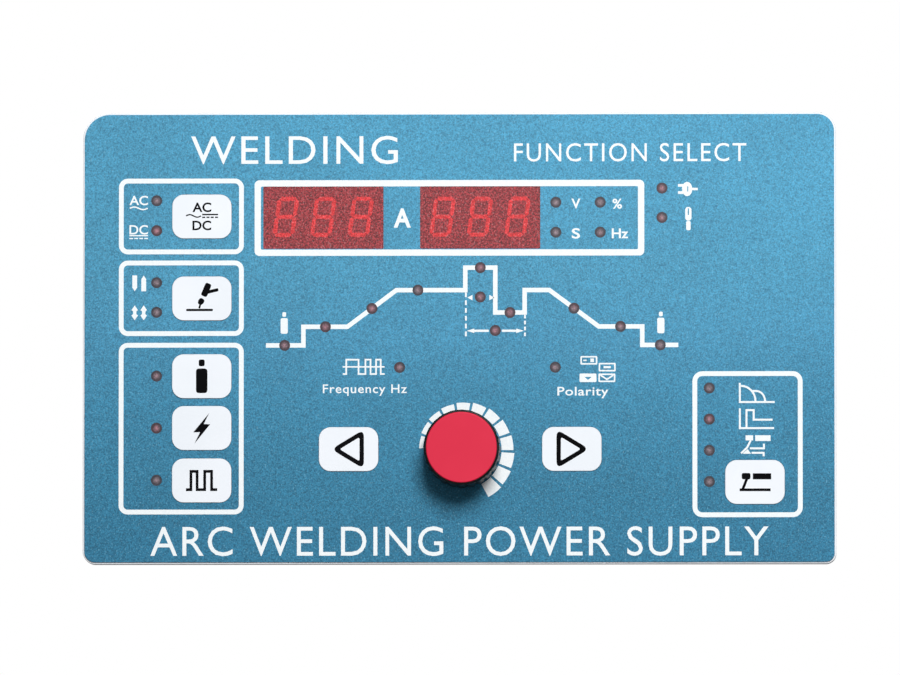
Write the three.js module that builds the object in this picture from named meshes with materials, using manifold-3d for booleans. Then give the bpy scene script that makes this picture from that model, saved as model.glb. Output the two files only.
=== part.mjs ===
// Control panel of a TIG welding machine: a moulded tray faced with a printed film, two digit
// displays behind red filters, eight short-travel keys, thirty indicator LEDs and one dial,
// all carried on a circuit board. Millimetres.
//
// Every piece is drawn in the panel's own frame: x to the right, y up, z forwards to the user.
// z = 0 is the rear face of the tray's rim, which seats on the machine, and x = y = 0 is the
// panel's centre. The last section stands the panel up, with +Z up and its front facing -Y.

import * as THREE from "three";
import { mergeVertices } from "three/addons/utils/BufferGeometryUtils.js";
import Module from "manifold-3d";

const wasm = await Module();
wasm.setup();

// ---------- Driving dimensions ----------

const PANEL = { width: 251.2, height: 150.7 };
const CORNER = { topLeft: 9, topRight: 6.3, bottomRight: 3.5, bottomLeft: 4.2 };
const RIM_WIDTH = 2;
const FILM_INSET = 0.6;

// Depths of the layers, from the front to the back
const FILM_FRONT = 6.5;
const WALL_FRONT = 6;
const WALL_BACK = 4.5;
const BOARD_FRONT = -2;
const BOARD_BACK = -3.6;

const BOARD = { width: 230, height: 130, corner: 2 };
const SPACER = { x: 110, y: 60, acrossFlats: 5.5, boreRadius: 1.7, boreEnd: 3 };
const SCREW = { radius: 1.45, end: 2, headRadius: 2.75, headHeight: 2 };
const STUD = { x: 118.5, y: 68.5, radius: 2, end: -12, flangeRadius: 3, flange: 1 };

const WINDOW = { width: 39.6, height: 20.9, corner: 0.5, y: 40.2, leftX: -45, rightX: 7.3 };
const WINDOW_GAP = 0.15;
const DISPLAY = { width: 37.7, height: 19, front: 5.9, gap: 0.3 };

const KEY = { width: 19.3, height: 14.7, corner: 3.3, front: 6.9, gap: 0.2 };
const KEY_FLANGE = { lip: 0.8, corner: 1, back: 3.25, front: 4.25 };
const KEY_STEM = { width: 5, back: 3 };
const SWITCH = { size: 6, front: 1.5, boreRadius: 1.95, boreBack: 0.5 };
const PLUNGER = { radius: 1.75, back: 1.25 };
const KEYS = {
  ac_dc: [-85.9, 40.7],
  torch: [-85.9, 13.3],
  gas: [-85.9, -12.7],
  arc_start: [-85.9, -30],
  pulse: [-85.9, -47.5],
  left: [-36.9, -37.1],
  right: [37.5, -37.1],
  process: [98.5, -48.2],
};

const DIAL = { x: 1, y: -37.3, back: 7.5, front: 22.3, baseRadius: 12.9, frontRadius: 12.6 };
const DIAL_RECESS = { radius: 8, front: 10.5 };
const DIAL_CAP = { radius: 11.8, seat: 21, front: 22.6, gap: 0.15 };
const ENCODER = { size: 12.4, bushingRadius: 3.5, bushingEnd: 9.5, boreRadius: 3.2, boreBack: -1 };
const SHAFT = { radius: 3, back: -0.5, front: 19.5, boreFront: 20 };
const WASHER = { radius: 6, thickness: 0.5 };
const NUT = { acrossFlats: 10, height: 2 };
const HARDWARE_GAP = 0.2;

// The printed welding cycle: the current's levels up the panel, and where it changes across
const LEVEL = { flow: -2.4, start: 3.8, weld: 16, peak: 23.5, pulse: 13.7, base: 8.5, period: 2.5 };
const CHANGE = [-64.5, -52, -37.3, -21, 2, 12, 21.8, 30, 46.5, 61, 73];
const WELD_LED_X = -13.8;

const LED = { radius: 1.5, shoulder: 3.9, front: 5.4, holeRadius: 1.8 };
const LED_DOME = { radius: 1.1, z: 4.95 };
const LED_BAR = { width: 4, front: -1 };
const LED_COLUMN_X = -101;
const UNIT_COLUMNS = [32.2, 47];
const UNIT_ROWS = [45.3, 35.3];
const MODE_COLUMN = { x: 83.3, top: -16.8, pitch: 10.4 };

const HEADER = { x: 60, y: -55, pitch: 2.54, columns: 5, rows: 2, pin: 0.64, pinEnd: -12 };
const CHIP = { x: -50, y: -18, width: 18, height: 7.5, depth: 2.4 };
const CHIP_LEADS = { width: 17, height: 10.3, depth: 0.3 };
const CAPACITOR = { x: 62, y: -25, radius: 4, end: -12.6 };

// ---------- Materials ----------

function material(color, roughness, metalness = 0) {
  return new THREE.MeshStandardMaterial({ color, roughness, metalness });
}

const MATERIAL = {
  tray: material(0xe9ebee, 0.5),
  film: material(0x4a93ba, 0.45, 0.2),
  filter: material(0xa02a33, 0.4),
  display: material(0x5a2226, 0.55),
  board: material(0x1f5d3a, 0.5),
  key: material(0xf5f6fb, 0.45),
  switchCase: material(0x1b1c1e, 0.55),
  plunger: material(0x2a2b2e, 0.5),
  dial: material(0x111113, 0.45),
  dialCap: material(0xe03850, 0.5),
  steel: material(0xb9bcc0, 0.35, 1),
  brass: material(0xc6a760, 0.35, 1),
  led: material(0x9c9296, 0.3),
  blackPlastic: material(0x17181a, 0.5),
  capacitor: material(0x22252c, 0.4),
};

// ---------- Shapes and solids ----------

// Each corner arc of a plate has twice as many sides as this
const CORNER_STEPS = 2;

// How far a cutting tool runs past a face, and how deep joined pieces sink into each other
const OVERLAP = 0.5;

// An upright rectangle about (x, y) with its own radius at each corner
function roundedRect(width, height, radii, x = 0, y = 0) {
  const r = typeof radii === "number" ? allCorners(radii) : radii;
  const [left, right] = [x - width / 2, x + width / 2];
  const [bottom, top] = [y - height / 2, y + height / 2];
  const shape = new THREE.Shape();
  const quarter = Math.PI / 2;
  const arc = (cx, cy, radius, start) =>
    shape.absarc(cx, cy, radius, start, start + quarter, false);
  arc(right - r.bottomRight, bottom + r.bottomRight, r.bottomRight, -quarter);
  arc(right - r.topRight, top - r.topRight, r.topRight, 0);
  arc(left + r.topLeft, top - r.topLeft, r.topLeft, quarter);
  arc(left + r.bottomLeft, bottom + r.bottomLeft, r.bottomLeft, 2 * quarter);
  return new THREE.Shape(shape.getPoints(CORNER_STEPS));
}

function allCorners(radius) {
  return { topLeft: radius, topRight: radius, bottomRight: radius, bottomLeft: radius };
}

function circle(radius, x, y, sides = 12) {
  const round = new THREE.Shape().absarc(x, y, radius, 0, 2 * Math.PI, false);
  return new THREE.Shape(round.getPoints(sides / 2));
}

// A flat plate from z = back to z = front
function plate(shape, back, front) {
  const depth = front - back;
  const solid = new THREE.ExtrudeGeometry(shape, { depth, bevelEnabled: false });
  return solid.translate(0, 0, back);
}

function pierced(shape, back, front, holes) {
  const tools = holes.map((hole) => plate(hole, back - OVERLAP, front + OVERLAP));
  return cut(plate(shape, back, front), ...tools);
}

function box(width, height, back, front, x = 0, y = 0) {
  const depth = front - back;
  return new THREE.BoxGeometry(width, height, depth).translate(x, y, back + depth / 2);
}

// A straight prism or cylinder along z; six sides make a hexagon
function rod(radius, back, front, x = 0, y = 0, sides = 16) {
  const solid = new THREE.CylinderGeometry(radius, radius, front - back, sides);
  return solid.rotateX(Math.PI / 2).translate(x, y, (back + front) / 2);
}

// A turned piece about z, from a profile of [radius, z] that starts and ends on the axis
function turned(profile, x, y, sides) {
  const points = profile.map(([radius, z]) => new THREE.Vector2(radius, z));
  return new THREE.LatheGeometry(points, sides).rotateX(Math.PI / 2).translate(x, y, 0);
}

function toSolid(geometry) {
  const bare = geometry.clone().deleteAttribute("normal").deleteAttribute("uv");
  const merged = mergeVertices(bare, 1e-4);
  const vertProperties = merged.attributes.position.array;
  const triVerts = new Uint32Array(merged.index.array);
  return new wasm.Manifold(new wasm.Mesh({ numProp: 3, vertProperties, triVerts }));
}

function toGeometry(solid) {
  const mesh = solid.getMesh();
  const geometry = new THREE.BufferGeometry();
  geometry.setAttribute("position", new THREE.BufferAttribute(mesh.vertProperties, 3));
  geometry.setIndex(new THREE.BufferAttribute(mesh.triVerts, 1));
  const faceted = geometry.toNonIndexed();
  faceted.computeVertexNormals();
  return faceted;
}

function join(first, ...others) {
  const solid = others.reduce((sum, next) => sum.add(toSolid(next)), toSolid(first));
  return toGeometry(solid);
}

function cut(base, ...tools) {
  const solid = tools.reduce((rest, tool) => rest.subtract(toSolid(tool)), toSolid(base));
  return toGeometry(solid);
}

// ---------- The panel's scene graph ----------

const standing = new THREE.Group();

function add(name, geometry, look) {
  const mesh = new THREE.Mesh(geometry, look);
  mesh.name = name;
  standing.add(mesh);
}

// ---------- Where the indicator LEDs stand ----------

function middle(step) {
  return (CHANGE[step] + CHANGE[step + 1]) / 2;
}

function column(x, top, pitch, count) {
  return Array.from({ length: count }, (_, i) => [x, top - i * pitch]);
}

const cycleLeds = [
  [middle(0), LEVEL.flow],
  [middle(1), LEVEL.start],
  [middle(2), (LEVEL.start + LEVEL.weld) / 2],
  [WELD_LED_X, LEVEL.weld],
  [middle(4), LEVEL.peak],
  [middle(4), LEVEL.pulse],
  [CHANGE[5], LEVEL.period],
  [middle(5), LEVEL.base],
  [middle(7), (LEVEL.start + LEVEL.weld) / 2],
  [middle(8), LEVEL.start],
  [middle(9), LEVEL.flow],
];
const [unitLeft, unitRight] = UNIT_COLUMNS;
const [unitTop, unitBottom] = UNIT_ROWS;

// Each group is listed in the order in which its carrier bar joins the LEDs
const LED_GROUPS = {
  ac_dc_leds: column(LED_COLUMN_X, 46, 10, 2),
  torch_leds: column(LED_COLUMN_X, 18.6, 9.9, 2),
  function_leds: column(LED_COLUMN_X, -12.6, 17.4, 3),
  unit_leds: [
    [unitLeft, unitBottom],
    [unitLeft, unitTop],
    [unitRight, unitTop],
    [unitRight, unitBottom],
  ],
  status_leds: column(67.6, 50, 9.8, 2),
  cycle_leds: cycleLeds,
  setting_leds: [
    [-19.9, -9.8],
    [32, -9.8],
  ],
  mode_leds: column(MODE_COLUMN.x, MODE_COLUMN.top, MODE_COLUMN.pitch, 4),
};

// ---------- Tray, film and filters ----------

const outline = () => roundedRect(PANEL.width, PANEL.height, CORNER);

function inset(distance) {
  const smaller = Object.entries(CORNER).map(([corner, radius]) => [corner, radius - distance]);
  const radii = Object.fromEntries(smaller);
  return roundedRect(PANEL.width - 2 * distance, PANEL.height - 2 * distance, radii);
}

function keyHoles() {
  const [width, height] = [KEY.width + 2 * KEY.gap, KEY.height + 2 * KEY.gap];
  return Object.values(KEYS).map(([x, y]) =>
    roundedRect(width, height, KEY.corner + KEY.gap, x, y),
  );
}

function windowHoles(width, height) {
  const { corner, y } = WINDOW;
  return [WINDOW.leftX, WINDOW.rightX].map((x) => roundedRect(width, height, corner, x, y));
}

function bushingHole() {
  return circle(ENCODER.bushingRadius + HARDWARE_GAP, DIAL.x, DIAL.y, 24);
}

function makeTray() {
  const ledHoles = Object.values(LED_GROUPS)
    .flat()
    .map(([x, y]) => circle(LED.holeRadius, x, y));
  const displayHoles = windowHoles(
    DISPLAY.width + 2 * DISPLAY.gap,
    DISPLAY.height + 2 * DISPLAY.gap,
  );
  const holes = [...keyHoles(), ...displayHoles, bushingHole(), ...ledHoles];
  const wall = pierced(outline(), WALL_BACK, WALL_FRONT, holes);
  const rim = pierced(outline(), 0, WALL_BACK, [inset(RIM_WIDTH)]);
  add("fascia_tray", join(wall, rim), MATERIAL.tray);
}

function makeFilm() {
  const holes = [...keyHoles(), ...windowHoles(WINDOW.width, WINDOW.height), bushingHole()];
  add("overlay_film", pierced(inset(FILM_INSET), WALL_FRONT, FILM_FRONT, holes), MATERIAL.film);
}

function makeDisplay(side, x) {
  const [width, height] = [WINDOW.width - 2 * WINDOW_GAP, WINDOW.height - 2 * WINDOW_GAP];
  const pane = roundedRect(width, height, WINDOW.corner - WINDOW_GAP, x, WINDOW.y);
  add(side + "_display_filter", plate(pane, WALL_FRONT, FILM_FRONT), MATERIAL.filter);
  const unit = box(DISPLAY.width, DISPLAY.height, BOARD_FRONT, DISPLAY.front, x, WINDOW.y);
  add(side + "_display", unit, MATERIAL.display);
}

// ---------- Circuit board, its fixings and the parts on its back ----------

const CORNERS = [
  [-1, 1],
  [1, 1],
  [1, -1],
  [-1, -1],
];

function makeBoard() {
  const holes = CORNERS.map(([i, j]) => circle(SPACER.boreRadius, i * SPACER.x, j * SPACER.y));
  const shape = roundedRect(BOARD.width, BOARD.height, BOARD.corner);
  add("control_board", pierced(shape, BOARD_BACK, BOARD_FRONT, holes), MATERIAL.board);
}

function makeFixings() {
  CORNERS.forEach(([i, j], n) => {
    const [x, y] = [i * SPACER.x, j * SPACER.y];
    const hex = rod(SPACER.acrossFlats / Math.sqrt(3), BOARD_FRONT, WALL_BACK, x, y, 6);
    const bore = rod(SPACER.boreRadius, BOARD_FRONT - OVERLAP, SPACER.boreEnd, x, y, 12);
    add("board_spacer_" + (n + 1), cut(hex, bore), MATERIAL.brass);

    const head = rod(SCREW.headRadius, BOARD_BACK - SCREW.headHeight, BOARD_BACK, x, y);
    const shank = rod(SCREW.radius, BOARD_BACK - OVERLAP, SCREW.end, x, y, 12);
    add("board_screw_" + (n + 1), join(head, shank), MATERIAL.steel);

    const [studX, studY] = [i * STUD.x, j * STUD.y];
    const flange = rod(STUD.flangeRadius, WALL_BACK - STUD.flange, WALL_BACK, studX, studY);
    const thread = rod(STUD.radius, STUD.end, WALL_BACK - OVERLAP, studX, studY, 12);
    add("mounting_stud_" + (n + 1), join(flange, thread), MATERIAL.steel);
  });
}

function makeHeader() {
  const { x, y, pitch, columns, rows, pin } = HEADER;
  const back = BOARD_BACK - pitch;
  const base = box(columns * pitch, rows * pitch, back, BOARD_BACK, x, y);
  const pins = [];
  for (let i = 0; i < columns; i++) {
    for (let j = 0; j < rows; j++) {
      const pinX = x + (i - (columns - 1) / 2) * pitch;
      const pinY = y + (j - (rows - 1) / 2) * pitch;
      pins.push(box(pin, pin, HEADER.pinEnd, back + OVERLAP, pinX, pinY));
    }
  }
  add("pin_header", join(base, ...pins), MATERIAL.blackPlastic);
}

function makeChip() {
  const { x, y } = CHIP;
  const [body, leads] = [CHIP, CHIP_LEADS].map(({ width, height, depth }) =>
    box(width, height, BOARD_BACK - depth, BOARD_BACK, x, y),
  );
  add("driver_chip", join(body, leads), MATERIAL.blackPlastic);
}

function makeCapacitor() {
  const { x, y, radius, end } = CAPACITOR;
  add("smoothing_capacitor", rod(radius, end, BOARD_BACK, x, y, 20), MATERIAL.capacitor);
}

// ---------- Keys: cap, switch and plunger ----------

function makeKey(name, [x, y]) {
  const { lip, corner, back, front } = KEY_FLANGE;
  const face = roundedRect(KEY.width, KEY.height, KEY.corner, x, y);
  const cap = plate(face, front - OVERLAP, KEY.front);
  const flangeShape = roundedRect(KEY.width + 2 * lip, KEY.height + 2 * lip, corner, x, y);
  const flange = plate(flangeShape, back, front);
  const stem = box(KEY_STEM.width, KEY_STEM.width, KEY_STEM.back, back + OVERLAP, x, y);
  add(name + "_key", join(cap, flange, stem), MATERIAL.key);

  const shell = box(SWITCH.size, SWITCH.size, BOARD_FRONT, SWITCH.front, x, y);
  const bore = rod(SWITCH.boreRadius, SWITCH.boreBack, SWITCH.front + OVERLAP, x, y, 12);
  add(name + "_switch", cut(shell, bore), MATERIAL.switchCase);

  const plunger = rod(PLUNGER.radius, PLUNGER.back, KEY_STEM.back, x, y, 12);
  add(name + "_plunger", plunger, MATERIAL.plunger);
}

// ---------- Dial and its encoder ----------

function makeEncoder() {
  const { x, y } = DIAL;
  const { size, bushingRadius, bushingEnd, boreRadius, boreBack } = ENCODER;
  const shell = box(size, size, BOARD_FRONT, WALL_BACK, x, y);
  const bushing = rod(bushingRadius, WALL_BACK - OVERLAP, bushingEnd, x, y, 24);
  const bore = rod(boreRadius, boreBack, bushingEnd + OVERLAP, x, y, 24);
  add("encoder_body", cut(join(shell, bushing), bore), MATERIAL.steel);
  add("encoder_shaft", rod(SHAFT.radius, SHAFT.back, SHAFT.front, x, y, 24), MATERIAL.steel);

  const clear = bushingRadius + HARDWARE_GAP;
  const washerFront = FILM_FRONT + WASHER.thickness;
  const disc = circle(WASHER.radius, x, y, 24);
  const washer = pierced(disc, FILM_FRONT, washerFront, [circle(clear, x, y, 24)]);
  add("encoder_washer", washer, MATERIAL.steel);
  const nutFront = washerFront + NUT.height;
  const hexagon = rod(NUT.acrossFlats / Math.sqrt(3), washerFront, nutFront, x, y, 6);
  const thread = rod(clear, washerFront - OVERLAP, nutFront + OVERLAP, x, y, 16);
  add("encoder_nut", cut(hexagon, thread), MATERIAL.steel);
}

function makeDial() {
  const { x, y, back, front, baseRadius, frontRadius } = DIAL;
  const capHole = DIAL_CAP.radius + DIAL_CAP.gap;
  const edge = 0.3;
  const body = [
    [0, SHAFT.boreFront],
    [ENCODER.boreRadius, SHAFT.boreFront],
    [ENCODER.boreRadius, DIAL_RECESS.front],
    [DIAL_RECESS.radius, DIAL_RECESS.front],
    [DIAL_RECESS.radius, back],
    [baseRadius, back],
    [frontRadius, front - edge],
    [frontRadius - edge, front],
    [capHole, front],
    [capHole, DIAL_CAP.seat],
    [0, DIAL_CAP.seat],
  ];
  add("dial_knob", turned(body, x, y, 40), MATERIAL.dial);

  const cap = [
    [0, DIAL_CAP.seat],
    [DIAL_CAP.radius, DIAL_CAP.seat],
    [DIAL_CAP.radius, DIAL_CAP.front - edge],
    [DIAL_CAP.radius - edge, DIAL_CAP.front],
    [0, DIAL_CAP.front],
  ];
  add("dial_cap", turned(cap, x, y, 40), MATERIAL.dialCap);
}

// ---------- Indicator LEDs, each group on its own carrier bar ----------

function carrierBar([x1, y1], [x2, y2]) {
  const length = Math.hypot(x2 - x1, y2 - y1) + LED_BAR.width;
  const bar = box(length, LED_BAR.width, BOARD_FRONT, LED_BAR.front);
  bar.rotateZ(Math.atan2(y2 - y1, x2 - x1));
  return bar.translate((x1 + x2) / 2, (y1 + y2) / 2, 0);
}

function led([x, y]) {
  const { radius, shoulder, front } = LED;
  const profile = [
    [0, LED_BAR.front - OVERLAP],
    [radius, LED_BAR.front - OVERLAP],
    [radius, shoulder],
    [LED_DOME.radius, LED_DOME.z],
    [0, front],
  ];
  return turned(profile, x, y, 10);
}

function makeLedGroup(name, centres) {
  const bars = centres.slice(1).map((centre, i) => carrierBar(centres[i], centre));
  add(name, join(...bars, ...centres.map(led)), MATERIAL.led);
}

// ---------- Assembly ----------

makeTray();
makeFilm();
makeDisplay("left", WINDOW.leftX);
makeDisplay("right", WINDOW.rightX);
makeBoard();
makeFixings();
makeHeader();
makeChip();
makeCapacitor();
Object.entries(KEYS).forEach(([name, centre]) => makeKey(name, centre));
makeEncoder();
makeDial();
Object.entries(LED_GROUPS).forEach(([name, centres]) => makeLedGroup(name, centres));

// The origin is the middle of the lower run of the rim's rear face
standing.rotation.x = Math.PI / 2;
standing.position.z = (PANEL.height - RIM_WIDTH) / 2;

const group = new THREE.Group();
group.name = "tig_welder_control_panel";
group.add(standing);

export default group;
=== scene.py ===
"""Looks of a TIG welder's control panel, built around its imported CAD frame.

Every mesh is drawn in the panel's own frame and then stood up: millimetres, x to the right,
y up and z forwards to the user, from the panel's centre. z = 0 is the back of the tray's rim.
"""

import heapq
import math

import bmesh
import bpy
from mathutils import Matrix, Vector


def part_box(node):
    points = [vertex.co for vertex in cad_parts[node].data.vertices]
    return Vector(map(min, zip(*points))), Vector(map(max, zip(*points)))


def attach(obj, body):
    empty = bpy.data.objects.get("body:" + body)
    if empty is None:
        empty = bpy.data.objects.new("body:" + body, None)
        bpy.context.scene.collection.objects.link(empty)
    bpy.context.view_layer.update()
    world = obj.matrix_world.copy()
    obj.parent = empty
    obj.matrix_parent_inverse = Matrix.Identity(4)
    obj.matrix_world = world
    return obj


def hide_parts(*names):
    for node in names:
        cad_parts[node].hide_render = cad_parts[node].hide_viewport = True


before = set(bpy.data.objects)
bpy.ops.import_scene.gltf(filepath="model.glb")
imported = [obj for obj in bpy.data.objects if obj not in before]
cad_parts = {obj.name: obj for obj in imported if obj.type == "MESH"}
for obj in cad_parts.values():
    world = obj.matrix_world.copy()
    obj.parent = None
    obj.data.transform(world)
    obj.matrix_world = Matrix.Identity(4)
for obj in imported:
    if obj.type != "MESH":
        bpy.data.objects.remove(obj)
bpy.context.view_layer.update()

# ---------- The panel's own frame ----------

MM = 0.001
tray_low, tray_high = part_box("fascia_tray")
CENTRE = Vector(((tray_low.x + tray_high.x) / 2, 0, (tray_low.z + tray_high.z) / 2))
STAND_UP = Matrix(((MM, 0, 0, 0), (0, 0, -MM, 0), (0, MM, 0, 0), (0, 0, 0, 1)))
TO_ROW = Matrix.Translation(CENTRE) @ STAND_UP
TO_PANEL = TO_ROW.inverted()


class Box:
    """Where a CAD node lies, in the panel's frame; x and y are its middle"""

    def __init__(self, node):
        corners = [TO_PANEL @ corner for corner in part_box(node)]
        self.low = Vector(map(min, *corners))
        self.high = Vector(map(max, *corners))
        self.back, self.front = self.low.z, self.high.z
        self.x, self.y, _ = (self.low + self.high) / 2
        self.width, self.height, _ = self.high - self.low


def lamp_centres(node):
    """Where the LEDs of a group stand: the tips of their domes, from the top left"""
    tip = Box(node).front
    points = [TO_PANEL @ vertex.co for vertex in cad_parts[node].data.vertices]
    tips = {(round(p.x, 2), round(p.y, 2)) for p in points if tip - p.z < 0.01}
    return sorted(tips, key=lambda p: (-p[1], p[0]))


def fixings(kind):
    """The number, node and box of each of the four fixings of a kind"""
    for n in (1, 2, 3, 4):
        node = "%s_%d" % (kind, n)
        yield n, node, Box(node)


PANEL = Box("fascia_tray")
FILM = Box("overlay_film")
BOARD = Box("control_board")
DIAL = Box("dial_knob")
WALL_BACK = Box("mounting_stud_1").front
WALL_FRONT = FILM.back

SIDES = ("left", "right")
KEYS = ("ac_dc", "torch", "gas", "arc_start", "pulse", "left", "right", "process")
LED_GROUPS = ("ac_dc", "torch", "function", "unit", "status", "cycle", "setting", "mode")
LAMPS = {group: lamp_centres(group + "_leds") for group in LED_GROUPS}
LAMP_PLACES = [place for group in LED_GROUPS for place in LAMPS[group]]

# Radii of the panel's corners: bottom right, top right, top left, bottom left
CORNERS = (3.5, 6.3, 9, 4.2)
RIM_WIDTH = 2
LAMP_HOLE_RADIUS = 1.8
LAMP_WINDOW_RADIUS = 1.82
BUSHING_RADIUS = 3.5
BUSHING_HOLE_RADIUS = 3.7
SPINDLE_BORE_RADIUS = 3.2
KEY_CORNER = 3.9
KEY_LIP = 0.8
SCREW_BORE_RADIUS = 1.7
INK = 0.03

# ---------- Outlines: closed loops of (x, y) points, anticlockwise ----------


def arc(x, y, radius, start, end, steps):
    """Points along an arc; the angles are in degrees"""
    angles = [math.radians(start + (end - start) * i / steps) for i in range(steps + 1)]
    return [(x + radius * math.cos(a), y + radius * math.sin(a)) for a in angles]


def circle(radius, x=0, y=0, steps=32):
    return arc(x, y, radius, 0, 360, steps)[:-1]


def hexagon(across_flats, x, y):
    return circle(across_flats / math.sqrt(3), x, y, 6)


def plate_outline(width, height, corners, x=0, y=0, steps=8):
    """An upright rectangle with a radius for each corner, from the bottom right"""
    loop = []
    for turn, (radius, (i, j)) in enumerate(zip(corners, ((1, -1), (1, 1), (-1, 1), (-1, -1)))):
        corner_x = x + i * (width / 2 - radius)
        corner_y = y + j * (height / 2 - radius)
        start = 90 * turn - 90
        loop += arc(corner_x, corner_y, radius, start, start + 90, steps)
    return loop


def rounded(width, height, radius, x, y, steps=6):
    return plate_outline(width, height, (radius,) * 4, x, y, steps)


def rectangle(width, height, x=0, y=0):
    right, top = x + width / 2, y + height / 2
    left, bottom = x - width / 2, y - height / 2
    return [(left, bottom), (right, bottom), (right, top), (left, top)]


def hole(loop):
    return loop[::-1]


def left_of(direction):
    return Vector((-direction.y, direction.x)).normalized()


def inset(loop, distance):
    """Moves each side of a loop to its left, into the material"""
    if distance == 0:
        return list(loop)
    points = [Vector(point) for point in loop]
    moved = []
    for before, point, after in zip(points[-1:] + points[:-1], points, points[1:] + points[:1]):
        first = left_of(point - before)
        second = left_of(after - point)
        moved.append(tuple(point + (first + second) * distance / (1 + first.dot(second))))
    return moved


def ribbon(points, width):
    """A line of even width with mitred corners and square ends"""
    points = [Vector(point) for point in points]
    left, right = [], []
    for i, point in enumerate(points):
        first = left_of(point - points[i - 1]) if i else left_of(points[1] - point)
        last = left_of(points[i + 1] - point) if i + 1 < len(points) else first
        side = (first + last) * (width / 2) / (1 + first.dot(last))
        left.append(tuple(point + side))
        right.append(tuple(point - side))
    return right + left[::-1]


def eased(points, radius, steps=3, closed=True):
    """Rounds the corners of a loop, or of an open line between its ends"""
    points = [Vector(point) for point in points]
    result = []
    for i, point in enumerate(points):
        if not closed and i in (0, len(points) - 1):
            result.append(tuple(point))
            continue
        before = points[i - 1] - point
        after = points[(i + 1) % len(points)] - point
        start = point + before.normalized() * min(radius, before.length / 2.1)
        end = point + after.normalized() * min(radius, after.length / 2.1)
        for step in range(steps + 1):
            t = step / steps
            result.append(tuple(start * (1 - t) ** 2 + point * 2 * t * (1 - t) + end * t * t))
    return result


# ---------- Meshes ----------

# A flat face keeps its shading flat with one more ring this far inside its soft edge
HOLDING = 0.03


def ring(bm, loop, z):
    return [bm.verts.new((x, y, z)) for x, y in loop]


def skin(bm, rings):
    """Joins each ring to the next, where a ring may be a single point; returns the end rings"""
    for lower, upper in zip(rings, rings[1:]):
        for i in range(max(len(lower), len(upper))):
            corners = [lower[(i - 1) % len(lower)], lower[i % len(lower)]]
            corners += [upper[i % len(upper)], upper[(i - 1) % len(upper)]]
            bm.faces.new(list(dict.fromkeys(corners)))
    return rings[0], rings[-1]


def fill(bm, *rings):
    """A flat face inside the first ring and outside the others"""
    edges = []
    for points in rings:
        for a, b in zip(points[-1:] + points[:-1], points):
            edges.append(bm.edges.get((a, b)) or bm.edges.new((a, b)))
    bmesh.ops.triangle_fill(bm, use_beauty=True, use_dissolve=False, edges=edges)


def quarter_turn(steps):
    return [math.radians(90 * step / steps) for step in range(steps + 1)]


def soft_edge(front, radius, steps=3):
    """How far a rounded edge has moved in at each depth, back to front"""
    back = front - radius
    levels = [(0, back)]
    for angle in quarter_turn(steps)[1:]:
        levels.append((radius * (1 - math.cos(angle)), back + radius * math.sin(angle)))
    levels.append((radius + HOLDING, front))
    return levels


def walls(bm, loop, levels):
    """Walls along a loop through (inset, z) levels; returns the first and last ring"""
    return skin(bm, [ring(bm, inset(loop, distance), z) for distance, z in levels])


def stepped(bm, sections):
    """One closed skin through (loop, levels) sections that meet at flat steps"""
    ends = [walls(bm, loop, levels) for loop, levels in sections]
    fill(bm, ends[0][0])
    for (_, last), (first, _) in zip(ends, ends[1:]):
        fill(bm, last, first)
    fill(bm, ends[-1][1])


def pierced(bm, sections):
    """Walls round the outside and through the holes, closed by a flat face at each end"""
    ends = [walls(bm, loop, levels) for loop, levels in sections]
    fill(bm, *[first for first, last in ends])
    fill(bm, *[last for first, last in ends])


def extrude(bm, loops, back, front, soft=0):
    """A plate between two depths, with holes after the first loop and a soft front edge"""
    levels = [(0, back)] + (soft_edge(front, soft) if soft else [(0, front)])
    pierced(bm, [(loop, levels) for loop in loops])


def lathe(bm, profile, x, y, sides=32, shape=None):
    """Turns a profile of (radius, z) about an axis; shape(angle, radius, z) may change a radius"""
    rings = []
    for radius, z in profile:
        loop = []
        for i in range(sides if radius else 1):
            angle = 2 * math.pi * i / sides
            at = shape(angle, radius, z) if shape else radius
            loop.append((x + at * math.cos(angle), y + at * math.sin(angle)))
        rings.append(ring(bm, loop, z))
    return skin(bm, rings)


def thread(bm, x, y, radius, pitch, back, front):
    """A right-hand screw thread with a chamfered back end"""
    depth = 0.6 * pitch
    steps = round((front - back) / pitch * 6)

    def groove(angle, root, z):
        phase = (z / pitch - angle / (2 * math.pi)) % 1
        crest = min(1, max(0, 1.4 - 2.8 * abs(phase - 0.5)))
        return root + min(depth * crest, z - back)

    profile = [(radius - depth, back + (front - back) * i / steps) for i in range(steps + 1)]
    for end in lathe(bm, profile, x, y, 24, groove):
        fill(bm, end)


def piece(name, bm, look, *replaced, body="panel", sharp=38):
    """Stands a finished mesh up, gives it its look and lets it ride on a CAD body"""
    bmesh.ops.recalc_face_normals(bm, faces=bm.faces)
    mesh = bpy.data.meshes.new(name)
    bm.to_mesh(mesh)
    bm.free()
    mesh.transform(TO_ROW)
    material, slot = LOOKS[look]
    mesh.materials.append(material)
    mesh.shade_smooth()
    mesh.set_sharp_from_angle(angle=math.radians(sharp))
    obj = bpy.data.objects.new(name, mesh)
    bpy.context.scene.collection.objects.link(obj)
    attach(obj, body)
    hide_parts(*replaced)


def plate(name, look, loops, back, front, *replaced, soft=0):
    """A piece that is one plate"""
    bm = bmesh.new()
    extrude(bm, loops, back, front, soft)
    piece(name, bm, look, *replaced)


# ---------- Materials ----------


def ink(red, green, blue):
    """A screen colour of 0 to 255 as a linear colour"""
    def linear(level):
        level /= 255
        return level / 12.92 if level <= 0.04045 else ((level + 0.055) / 1.055) ** 2.4
    return (linear(red), linear(green), linear(blue), 1)


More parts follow.
